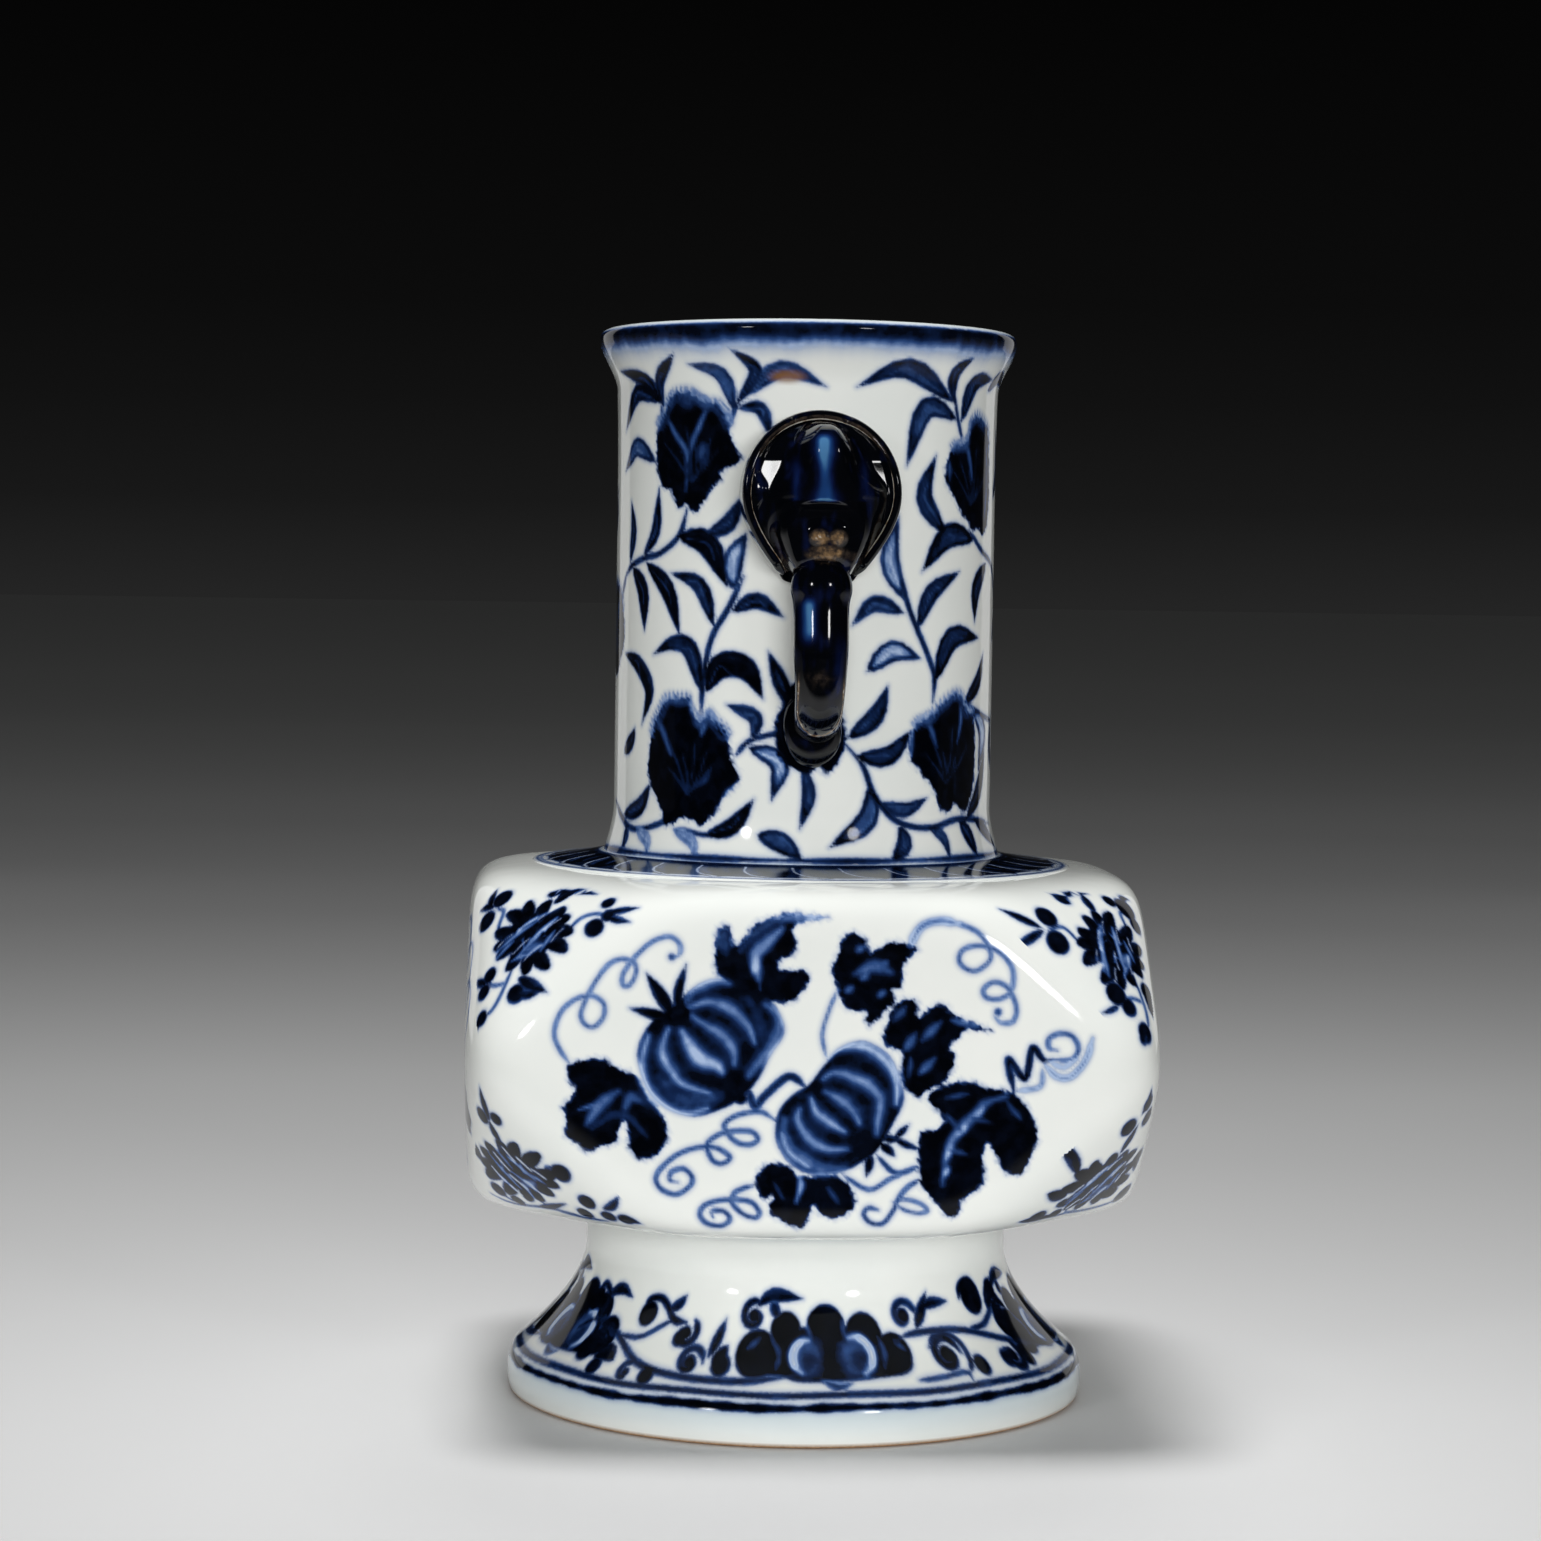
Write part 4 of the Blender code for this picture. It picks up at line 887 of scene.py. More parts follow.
# The shoulder is a low ring trimmed on the wheel round the neck's seat. A band of pointed petals runs round
# it between blue lines, under the same glaze as the body.
SHOULDER_INNER = 27.6
SHOULDER_SEAT = 28.4
SHOULDER_OUTER = 37.8
SHOULDER_SKIRT = 38.1
SHOULDER_FOOT = 75.3
SHOULDER_UNDERSIDE = 74.6
SHOULDER_RISE = 1.4
SHOULDER_COLUMNS = 760
SHOULDER_MEASURE = 33.0
LAPPETS = 30


def shoulder_height(radius):
    """Height of the ring at a radius: it falls from the neck's seat to nothing along a slow curve."""
    share = np.clip((radius - SHOULDER_SEAT) / (SHOULDER_OUTER - SHOULDER_SEAT), 0, 1)
    return SHOULDER_FOOT + SHOULDER_RISE * (1 - share) ** 1.3


radius = np.concatenate([[SHOULDER_SKIRT], np.linspace(SHOULDER_OUTER, SHOULDER_INNER, 32)])
height = np.concatenate([[SHOULDER_FOOT - 0.08], shoulder_height(radius[1:]) + 0.03])
underside = [(SHOULDER_INNER, SHOULDER_UNDERSIDE), (SHOULDER_SKIRT, SHOULDER_UNDERSIDE)]
outline = np.concatenate([np.column_stack([radius, height]), underside])
out = np.append(radius, [0.0, 0.0])
shoulder_points, shoulder_ground = turned(outline, SHOULDER_COLUMNS, SHOULDER_MEASURE, out)
across = shoulder_ground["v"]
lay(shoulder_ground, slice(None), np.minimum(across - 29.2, 36.0 - across), 0.2)
lappets = [SHOULDER_MEASURE * math.tau * k / LAPPETS for k in range(LAPPETS)]
for at in lappets:
    draw(shoulder_ground, at, [
        (patch, [(-3.6, 29.2), (-3.4, 32.2), (-1.4, 35.2), (1.4, 36.5), (3, 34.4), (3.5, 31.8),
                 (3.6, 29.2)], 0.04)])
for at in lappets:
    draw(shoulder_ground, at, [
        (hollow, [(-3.3, 30.2), (-2.8, 32.6), (-1.2, 34.8), (1.2, 36)], 0.2),
        (soften, [(-2.4, 30.4), (-1.8, 32.6), (0.2, 34.6)], 1.0, 0.42),
        (soften, [(0.6, 30.2), (1.2, 32.2), (2.2, 33.4)], 0.8, 0.36)])
waver = 0.1 * np.sin(3 * shoulder_ground["u"] / SHOULDER_MEASURE)
for ring_radius, width, tone in ((37.3, 0.5, 0.25), (36.75, 0.25, 0.4), (29.0, 1.0, 0.1)):
    lay(shoulder_ground, slice(None), width / 2 - np.abs(across - ring_radius - waver), tone)
shoulder = add_piece(
    "shoulder_ring_glazed", shoulder_points,
    ring_quads(*shoulder_points.shape[:2], wrap_rows=True)[:, ::-1].tolist(),
    {"paint_edge": shoulder_ground["edge"], "paint_wash": shoulder_ground["wash"],
     "pool": np.where(across < 30.5, 0.5, 0.0)}, body_porcelain)
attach(shoulder, "root")


# The neck is a thrown tube with a rolled lip, luted into the shoulder. Scrolling stems with narrow leaves and
# fringed peonies cover it, a dark band runs under the lip, and the crest of the lip is left nearly white.
NECK = 26.7
NECK_BOTTOM = 76.5
NECK_WALL = 3.2
LIP_TOP = 150.0
LIP_ROUND = 1.3
NECK_COLUMNS = 438
NECK_ROWS = 190
INSIDE = 170.0


def neck_radius(z):
    """Outer radius at a height: a fillet at the shoulder, a tube that swells a little, a flared lip."""
    base = 1.4 * np.clip(1 - (z - 76.7) / 6.6, 0, 1) ** 1.6
    swell = 0.5 * (np.maximum(z - 128.0, 0.0) / 22.0) ** 2
    return NECK + base + swell + 2.3 * smooth((z - 141.5) / 7.2)


lip_level = LIP_TOP - LIP_ROUND
level = np.linspace(NECK_BOTTOM, lip_level, NECK_ROWS)
outside = np.column_stack([neck_radius(level), level])
roll = np.linspace(0, math.pi, 14)[1:-1]
lip_middle = outside[-1, 0] - LIP_ROUND
lip = np.column_stack([lip_middle + LIP_ROUND * np.cos(roll), lip_level + LIP_ROUND * np.sin(roll)])
level = np.linspace(lip_level, NECK_BOTTOM, 22)
wall = NECK_WALL - 0.6 * smooth(1 - (lip_level - level) / 8.5)
inside = np.column_stack([neck_radius(level) - wall, level])
neck_outline = np.concatenate([outside, lip, inside])
up = np.concatenate([outside[:, 1], lip_level + LIP_ROUND * roll, np.full(len(inside), INSIDE)])
neck_points, neck_ground = turned(neck_outline, NECK_COLUMNS, NECK, up)


def peony(ground, at, outline, streaks, glow):
    """A fringed peony: dark petals in one mass, pale streaks in it, and short hairs along the crown."""
    draw(ground, at, [(patch, outline, 0.02, 0.24)] + [(soften, *streak) for streak in streaks])
    low = min(y for x, y in outline)
    high = max(y for x, y in outline)
    tall = high - low
    middle = sum(x for x, y in outline) / len(outline)
    crown = sorted((x + 0.15 * (middle - x), y - 1.0) for x, y in outline if y > high - 0.3 * tall)
    draw(ground, at, [(soften, crown, 0.9, 0.36)])
    for k in range(6):
        lean = (k - 2.5) * 0.3
        reach = tall * (0.36 + 0.1 * math.sin(2.7 * k + high))
        x, y = middle + 0.4 * lean, low + 0.25 * tall + 0.6 * math.sin(3.1 * k)
        dx, dy = reach * math.sin(lean), reach * math.cos(lean)
        draw(ground, at, [(soften, [(x, y), (x + dx / 2 + 0.3, y + dy / 2), (x + dx, y + dy)], 0.5, 0.3)])
    for spot in through(outline, steps=3, closed=True):
        if spot[1] > high - 0.3 * tall:
            out = (spot - (middle, low)) * (1.0, 0.6)
            out /= np.hypot(*out)
            draw(ground, at, [(line, [spot - 0.9 * out, spot + 0.6 * out], 0.42, glow)])


def neck_half(ground, at):
    """One half of the neck's drawing, seen from a handle's side, with that handle's middle at u = at."""
    stems = (
        ([(-34.2, 115), (-31.8, 116.7), (-27.6, 117.9), (-24.2, 118.5), (-20.5, 120.8), (-19, 124.6)], 1.0),
        ([(-38.5, 108), (-35.6, 112.4), (-33.6, 115.8)], 0.9),
        ([(-16.3, 96.5), (-15.9, 102.1), (-14.7, 107.1), (-12.2, 111.2), (-10.1, 115.4)], 1.0),
        ([(-38, 83.8), (-33.8, 81.7), (-29.7, 80.4), (-25.5, 80.8), (-20.5, 82.4)], 1.0),
        ([(-19.6, 81), (-14.5, 80.3), (-11, 82)], 0.8), ([(-4.2, 94.6), (-8.8, 93.3), (-10.9, 91.2)], 0.9),
        ([(17.7, 98.6), (17.9, 102.1), (16.7, 105), (14.6, 108.8), (12.9, 112.5), (11.7, 116.7)], 1.0),
        ([(4.2, 92.9), (6.7, 90), (8.3, 86.2), (11.2, 82.9), (14.6, 81.7), (18.3, 81.6), (23.3, 82.5),
         (29.2, 82.1), (34.5, 81.4)], 1.0),
        ([(25, 122.4), (29.2, 119.6), (34.6, 117.4), (38, 113)], 0.9),
        ([(25, 98.4), (31, 96.6), (36, 95.8)], 0.8), ([(22.9, 134.6), (21.6, 138), (20.8, 141)], 0.8),
        ([(-24, 138.6), (-23.9, 136.8), (-23.3, 135.6)], 0.8),
        ([(-12.4, 136), (-11.4, 138.6), (-10.6, 139.6)], 0.8))
    draw(ground, at, [(line, points, width, 0.2) for points, width in stems])
    leaves = (
        ([(-28.2, 118), (-25.2, 121.5), (-24.5, 127.5)], 2.0, 0.12, 0.0),
        ([(-32.2, 117.1), (-31.1, 121.7), (-32, 125.8)], 1.9, 0.12, 0.0),
        ([(-31.3, 116.7), (-28.2, 113.4), (-27.6, 107.8)], 2.8, 0.03, 0.0),
        ([(-27.4, 117.3), (-22.6, 113.6), (-20.1, 107.4)], 2.8, 0.03, 0.0),
        ([(-20.7, 120.8), (-15.6, 119.8), (-12.4, 113.9)], 3.4, 0.02, 0.0),
        ([(-15.9, 121), (-12.4, 122.6), (-10.3, 126.4)], 2.4, 0.15, 0.1),
        ([(-11.6, 113.6), (-11.6, 117.6), (-9.7, 121.4)], 3.0, 0.15, 0.65),
        ([(-11.8, 110.6), (-8.2, 112.2), (-4.5, 110)], 2.2, 0.1, 0.0),
        ([(-14.4, 108.6), (-16.8, 114.2), (-22, 115.8)], 2.3, 0.08, 0.1),
        ([(-16.2, 99.6), (-18.2, 105.4), (-21.4, 106.2), (-25.4, 104.6)], 2.6, 0.05, 0.15),
        ([(-15.6, 99.6), (-13.4, 103.2), (-9.6, 103), (-7.1, 98.9)], 3.6, 0.01, 0.0),
        ([(-3, 97.4), (-4.8, 101.4), (-6.5, 105.4)], 2.2, 0.05, 0.0),
        ([(-33.8, 104.6), (-29.2, 103.2), (-26.2, 99.6), (-28, 94.8)], 2.5, 0.05, 0.0),
        ([(-33.6, 90.6), (-31, 92.6), (-29.9, 94.4)], 2.2, 0.03, 0.0),
        ([(-33.4, 82.1), (-28.4, 83.4), (-25.5, 87)], 2.6, 0.08, 0.1),
        ([(-31.8, 80.6), (-31, 79), (-31.4, 77.2)], 1.5, 0.1, 0.0),
        ([(-28.6, 80.6), (-25.4, 79), (-24.8, 77)], 1.7, 0.5, 0.2),
        ([(-20.6, 80.9), (-17.2, 79.4), (-16, 77)], 1.7, 0.5, 0.2),
        ([(-15.2, 80.2), (-11.2, 81.6), (-8.2, 85.4)], 2.4, 0.03, 0.0),
        ([(-8.6, 93.4), (-8.2, 96.4), (-12.4, 98.1)], 2.0, 0.15, 0.1),
        ([(-9.2, 92.4), (-4.8, 90.4), (-5.8, 85.2)], 2.7, 0.08, 0.6),
        ([(-1.6, 90), (-0.7, 86), (-1.9, 81.4)], 1.9, 0.05, 0.2),
        ([(-7.6, 80.6), (-4.4, 79.6), (-1.4, 77.2)], 2.7, 0.04, 0.35),
        ([(-23.8, 138.6), (-27.6, 142.2), (-34.9, 143.8)], 2.1, 0.1, 0.0),
        ([(-23.9, 139.2), (-30, 140.6), (-34.4, 135.4)], 2.6, 0.1, 0.0),
        ([(-23.6, 138.3), (-24.4, 142.1), (-20.2, 145.6)], 2.0, 0.1, 0.0),
        ([(-11.6, 137.4), (-13.6, 142.6), (-18.6, 144.1)], 2.0, 0.15, 0.3),
        ([(-11.3, 138.8), (-8.6, 143), (-11.8, 146)], 2.0, 0.1, 0.0),
        ([(-10.4, 139.6), (-5.1, 143.3), (0.9, 141)], 2.3, 0.25, 0.1),
        ([(-11.3, 138.1), (-8, 138), (-6.4, 133.8)], 1.8, 0.15, 0.0),
        ([(-25.3, 131), (-30, 133.2), (-32.6, 131.4), (-34.6, 129.9)], 2.6, 0.12, 0.45),
        ([(12.4, 112.6), (10.2, 118), (11.4, 124)], 2.9, 0.15, 0.62),
        ([(14.7, 108.6), (17.2, 113.6), (22.9, 116.6)], 2.6, 0.1, 0.15),
        ([(18, 101.4), (21.4, 107.4), (28.6, 107.5)], 3.2, 0.03, 0.2),
        ([(12.5, 110.8), (8, 112), (4.8, 109)], 2.3, 0.2, 0.1),
        ([(7, 102.8), (10.8, 105.6), (15.4, 104.6)], 2.9, 0.08, 0.75),
        ([(4.4, 93.7), (8.4, 96.8), (10.2, 101)], 2.6, 0.05, 0.15),
        ([(5.6, 91.3), (10.4, 91.4), (14.2, 95)], 2.7, 0.03, 0.2),
        ([(9.2, 85), (13, 84), (17, 85.6)], 2.1, 0.08, 0.3),
        ([(7.7, 87.5), (7.4, 82.8), (2, 79)], 2.9, 0.05, 0.45),
        ([(12.3, 81.9), (12.8, 79.4), (10.4, 77)], 2.3, 0.03, 0.2),
        ([(17.2, 81.6), (19.8, 80), (20.4, 77)], 1.6, 0.1, 0.2),
        ([(23.8, 82.3), (25.8, 80), (27, 77)], 2.5, 0.04, 0.1),
        ([(25.6, 82.4), (29.4, 86), (32, 92)], 2.6, 0.03, 0.0),
        ([(28, 82.2), (32.6, 80), (36, 78)], 2.2, 0.1, 0.0),
        ([(20.8, 139.6), (12, 143.8), (4.9, 141.1)], 2.8, 0.1, 0.2),
        ([(20.7, 139.6), (20.4, 143.6), (23.2, 146)], 2.1, 0.08, 0.0),
        ([(22.5, 137), (25.4, 142.4), (30.8, 143.3)], 2.6, 0.1, 0.1),
        ([(30, 141.6), (34, 143.8), (39, 142.5)], 2.0, 0.12, 0.0),
        ([(21.8, 137.3), (15.6, 138.6), (12.5, 130.6)], 2.9, 0.12, 0.25),
        ([(19.8, 121.5), (15.6, 126.5), (17.6, 132.4)], 2.9, 0.12, 0.1),
        ([(26.6, 121), (20.2, 121.4), (15.3, 116.4)], 3.4, 0.03, 0.2),
        ([(31.2, 117.9), (27.6, 114.4), (27.2, 109.6)], 2.8, 0.04, 0.1),
        ([(24.4, 98.2), (28.6, 101.4), (30.6, 105.4)], 2.3, 0.03, 0.0),
        ([(27, 97.6), (30.8, 94.4), (29.4, 88.8)], 2.9, 0.1, 0.75),
        ([(36.2, 107), (38.8, 111), (37.6, 116)], 2.2, 0.08, 0.1),
        ([(34.8, 127), (37.6, 131), (36.4, 136.6)], 2.4, 0.1, 0.2),
        ([(38.6, 88.6), (35.6, 92), (36.4, 97)], 2.2, 0.1, 0.1),
        ([(39.4, 120.6), (42.8, 123), (43.8, 128)], 2.5, 0.08, 0.2))
    for points, width, tone, light in leaves:
        base, middle, tip = np.array(points, float)[[0, 1, -1]]
        vein = [base + 0.3 * (middle - base), middle, middle + 0.35 * (tip - middle)]
        draw(ground, at, [
            (leaf, points, width, tone, light), (soften, vein, 0.35, tone + 0.42 if light < 0.5 else 1.1)])
    peonies = (
        ([(-22.8, 139.3), (-21.6, 140.3), (-19.6, 140.6), (-18, 140.3), (-16.9, 139.6), (-15.8, 139.1),
          (-14.1, 138.8), (-12.9, 137.6), (-12.3, 136.3), (-12.2, 134.7), (-11.6, 133.2), (-10.5, 131.5),
          (-11.6, 130.4), (-13.5, 129.5), (-13.5, 128.4), (-14.7, 127.6), (-15.5, 126.3), (-16.6, 125.2),
          (-17.1, 124.2), (-18.4, 124.3), (-19.2, 125), (-20.7, 124.5), (-21.6, 126), (-22.4, 127.2),
          (-23.8, 127.4), (-24.6, 128.7), (-25.2, 130.4), (-25.3, 132.6), (-25.2, 134.7), (-24.7, 136.5),
          (-23.9, 137.3)],
         [([(-23.5, 137.8), (-21.3, 134.7), (-19.3, 132.1), (-19.3, 127)], 0.9, 0.6),
          ([(-15.4, 139), (-17, 136), (-18.2, 133.6), (-19, 131.8)], 1.0, 0.66),
          ([(-16.6, 133.2), (-16.2, 130.8)], 1.8, 0.5), ([(-20, 139.8), (-18.6, 138.6)], 2.2, 0.38)], 0.5),
        ([(-22.5, 98.8), (-20.2, 99), (-18.2, 98.9), (-17.8, 97.8), (-16.5, 96), (-15, 97), (-13.9, 96),
          (-12.2, 94.5), (-11.7, 92.5), (-11.3, 90.5), (-10.3, 88.8), (-10.7, 87.2), (-12.2, 85.7),
          (-13, 84.8), (-13.6, 83.5), (-14.7, 82.4), (-15.7, 81.3), (-17.3, 82), (-19.6, 82.2),
          (-21.1, 81.3), (-22.5, 81.3), (-23.3, 83.3), (-24.5, 85), (-25.6, 86.8), (-26.4, 88.6),
          (-26.2, 90.8), (-25.8, 93), (-25.2, 95.4), (-23.9, 97.1)],
         [([(-24.4, 96.2), (-22.8, 93.6), (-21.4, 91)], 1.1, 0.6),
          ([(-16.2, 93.8), (-15.4, 96.2)], 1.0, 0.6), ([(-14.7, 89), (-16.2, 87)], 1.1, 0.36),
          ([(-10.9, 87), (-12.6, 85.3)], 1.2, 0.6), ([(-22.6, 98.4), (-18.6, 98.4)], 1.2, 0.55)], 0.55),
        ([(-42.8, 113.2), (-40.4, 114.8), (-37.6, 114.3), (-35.6, 112.8), (-34.5, 110), (-34.1, 107.4),
          (-34.8, 105.2), (-35.9, 103.8), (-37.6, 102), (-39.6, 101.2), (-41.8, 102.6), (-43.6, 105),
          (-43.9, 108.4), (-43.6, 111.4)],
         [([(-41.6, 112.6), (-40.4, 108.6), (-39.8, 104.6)], 1.0, 0.6),
          ([(-37.2, 112.6), (-38.6, 108.8)], 1.0, 0.6)], 0.55),
        ([(22.3, 134.2), (23.6, 134.4), (24.4, 135.4), (24.9, 137.2), (26.8, 138.3), (29, 137.6),
          (31, 136.4), (31.8, 133), (32.3, 129), (31.9, 125), (31, 122.6), (29.4, 121.6), (27.6, 122.6),
          (26, 122.2), (24.6, 123.6), (23.4, 124), (22.2, 125.6), (20.8, 127), (19.6, 128.6),
          (19.3, 130.6), (20, 132.4), (21, 133.8)],
         [([(23.8, 134.6), (25, 132), (25.8, 129.2)], 0.9, 0.6),
          ([(27, 137.6), (29.6, 136.8)], 1.6, 0.42), ([(30.4, 135), (30.9, 129), (30.2, 124)], 1.2, 0.5),
          ([(20.2, 131.6), (20.4, 129)], 0.9, 0.5)], 0.5),
        ([(17.8, 97.4), (20, 99), (22.4, 100), (24.2, 99.4), (25.6, 97.6), (27.4, 97.2), (28, 93.6),
          (28.1, 89.6), (27.5, 86.4), (26, 84), (24.4, 83.4), (22.8, 84.6), (21.2, 83.4), (19.4, 84),
          (18.4, 86), (17.2, 87.6), (16, 88.6), (15, 89.8), (14, 90.4), (13.6, 92.4), (13.9, 94.4),
          (14.8, 96), (16.2, 96.6)],
         [([(15.6, 97), (17.4, 95), (18.6, 92.6)], 0.9, 0.62),
          ([(23.4, 99.4), (23.8, 96), (22.9, 93)], 0.8, 0.66), ([(14.2, 95.2), (14, 91.4)], 0.8, 0.6),
          ([(22.4, 91), (22.6, 86)], 0.6, 0.18)], 0.58))
    for outline, streaks, glow in peonies:
        peony(ground, at, outline, streaks, glow)
    draw(ground, at, [
        (patch, [(-4.7, 98), (-3.4, 101), (-1, 102), (2, 100.4), (3.6, 98), (4.2, 94.4), (3.8, 91.4),
                 (1.6, 88.8), (0.6, 90), (-0.8, 88.8), (-3.6, 89.8), (-5.2, 92), (-5.6, 95)], 0.02, 0.2)])


neck_half(neck_ground, 0.0)
neck_half(neck_ground, NECK * math.pi)

# The band under the lip is laid on the turning wheel: dark at the top, thinner below, mottled by the glaze
around = neck_ground["u"] / NECK
waver = 0.18 * np.sin(5 * around + 1) + 0.12 * np.sin(13 * around) + 0.1 * np.sin(29 * around + 2)
streak = np.sin(73 * around + 3 * np.sin(7 * around)) * np.sin(31 * around + 1) + np.sin(17 * around + 2)
band = np.minimum(149.6 - neck_ground["v"], 0.3 * (neck_ground["v"] - 146.2 - waver - 0.08 * streak))
lay(neck_ground, slice(None), band, 0.16)
below_band = smooth((148.4 - neck_ground["v"] + 0.12 * streak) / 2.4) * smooth((band + 0.3) / 0.4)
neck_ground["wash"] += 0.5 * below_band
lay(neck_ground, slice(None), 0.45 + 0.12 * np.sin(9 * around) - np.abs(neck_ground["v"] - 77.2), 0.2)
half_way = NECK * math.pi
from_spot = (neck_ground["u"] + 4.4 + half_way) % (2 * half_way) - half_way
spot = np.hypot(from_spot / 2.9, (neck_ground["v"] - 142.3) / 1.1)
pool = 0.45 * smooth((79.5 - neck_ground["v"]) / 3) + 0.4 * smooth((neck_ground["v"] - 144.6) / 2.5)
neck = add_piece(
    "neck_glazed", neck_points, ring_quads(*neck_points.shape[:2], wrap_rows=True)[:, ::-1].tolist(),
    {"paint_edge": neck_ground["edge"], "paint_wash": neck_ground["wash"], "pool": np.clip(pool, 0, 1),
     "rust": 0.75 * smooth((1.1 - spot) / 0.7)},
    painted_porcelain("painted_porcelain_neck"))
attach(neck, "root")
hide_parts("neck")


# Each handle is an elephant's head pressed in a mould and luted to the neck: a domed face, a hood of two ears
# behind it, and a trunk that hangs free and curls back on to a pad of clay. All of it is washed dark blue.
HEAD_LEVEL = 126.5
HEAD_HALF_WIDTH = 9.2
CROWN = 9.8
CHIN = 12.2
CHIN_HALF_WIDTH = 3.8
FOREHEAD = 13.6
CHIN_REACH = 9.4
EAR_THICKNESS = 1.5
EAR_REACH = 8.2
EAR_DROP = 11.2
TRUNK_THICKNESS = 6.9
TRUNK_GAP = 6.2
TRUNK_BEND = 6.2
TRUNK_DROP = 23.6
TRUNK_TOP = 118.8
PAD_HALF = (4.25, 3.0, 5.4)
PAD_LEVEL = 95.1
PAD_ASIDE = 0.4
WALL_MIDDLE = NECK - NECK_WALL / 2


def dark_cobalt(name):
    """Porcelain washed all over with cobalt under glossy glaze: blue-black, with sky-blue and brown places.

    The field sky is 1 on pale-blue streaks: partly glaze that ran thick and fired pale blue, partly painted
    reflection. The field thin is 1 on pale lines along the ears' front edges and round the trunk's end, which
    are painted highlight and painted reflection, and about 0.6 where the glaze ran off and shows golden
    brown.
    """
    material = bpy.data.materials.new(name)
    material.use_nodes = True
    tree = material.node_tree
    shader = tree.nodes["Principled BSDF"]
    place = node(tree, "TexCoord", [], "Object")
    thin = node(tree, "Attribute", [], "Fac", attribute_name="thin")
    sky = node(tree, "Attribute", [], "Fac", attribute_name="sky")

    # In mm: the uneven wash, drips four times as long as they are wide, worn edges, and the glaze's dimples
    tall = node(tree, "Mapping", {"Vector": place, "Scale": (1.0, 1.0, 0.25)})
    cloud, drip, wear, dimple = (
        node(tree, "TexNoise", {"Vector": along, "Scale": 1000 / size, "Detail": detail})
        for along, size, detail in (
            (place, 4.0, 3.0), (tall, 1.5, 1.0), (place, 0.8, 3.0), (place, 4.0, 1.0)))
    blue = node(tree, "Math", [cloud, drip], operation="MULTIPLY")
    blue = node(tree, "MapRange", [blue, 0.25, 0.5], interpolation_type="SMOOTHSTEP")
    # The sky field's pale-blue streaks, broken up by the drips: partly glaze run thick, partly painted
    # reflection
    streaked = node(tree, "Math", [drip, 0.8, 0.6], operation="MULTIPLY_ADD")
    streaked = node(tree, "Math", [sky, streaked], operation="MULTIPLY", use_clamp=True)
    run = node(tree, "ValToRGB", [streaked], stops=(
        (0.0, "#05070F"), (0.4, "#0F1F52"), (0.75, "#1E4580"), (1.0, "#44739F")))
    # The thin field, mottled: golden-brown wear, and pale lines that are painted highlight and painted
    # reflection
    wear_and_highlight = node(tree, "Math", [wear, 2.4, -0.2], operation="MULTIPLY_ADD")
    wear_and_highlight = node(tree, "Math", [thin, wear_and_highlight], operation="MULTIPLY", use_clamp=True)
    brown = node(tree, "ValToRGB", [wear_and_highlight], stops=(
        (0.1, "#12100F"), (0.4, "#332B26"), (0.75, "#84694A"), (1.0, "#B9B8B0")))
    shows = node(tree, "MapRange", [wear_and_highlight, 0.05, 0.35], interpolation_type="SMOOTHSTEP")
    colour = linear("#030407")
    for share, over in ((blue, linear("#0C1434")), (streaked, run), (shows, brown)):
        colour = node(tree, "Mix", {0: share, 6: colour, 7: over}, 2, data_type="RGBA")
    tree.links.new(colour, shader.inputs["Base Color"])
    shader.inputs["Roughness"].default_value = 0.08
    shader.inputs["IOR"].default_value = 1.46
    bump = node(tree, "Bump", {"Strength": 0.3, "Distance": 0.0001, "Height": dimple})
    tree.links.new(bump, shader.inputs["Normal"])
    return material


def capped(points, first, last, flip=False):
    """Points and faces of a tube of rows whose two ends are closed by fans to one point each."""
    rows, columns = points.shape[:2]
    faces = ring_quads(rows, columns).tolist()
    here = np.arange(columns)
    after = (here + 1) % columns
    end = (rows - 1) * columns
    faces += np.column_stack([here, after, np.full(columns, rows * columns)]).tolist()
    faces += np.column_stack([end + after, end + here, np.full(columns, rows * columns + 1)]).tolist()
    if flip:
        faces = [face[::-1] for face in faces]
    return np.concatenate([points.reshape(-1, 3), [first, last]]), faces


def bell(t):
    """A smooth hump, 1 at t = 0 and nearly gone at t = 2."""
    return np.exp(-t * t)


def ear_reach(level):
    """How far the hood stands out from the neck at a level above the middle of the head."""
    dome = np.sqrt(1 - (np.clip(level, 0, CROWN) / CROWN) ** 2)
    down = np.clip(-level / EAR_DROP, 0, 1)
    return EAR_REACH * (0.5 + 0.5 * dome) * (1 - 0.28 * smooth(down)) * (1 - 0.5 * smooth((down - 0.8) / 0.2))


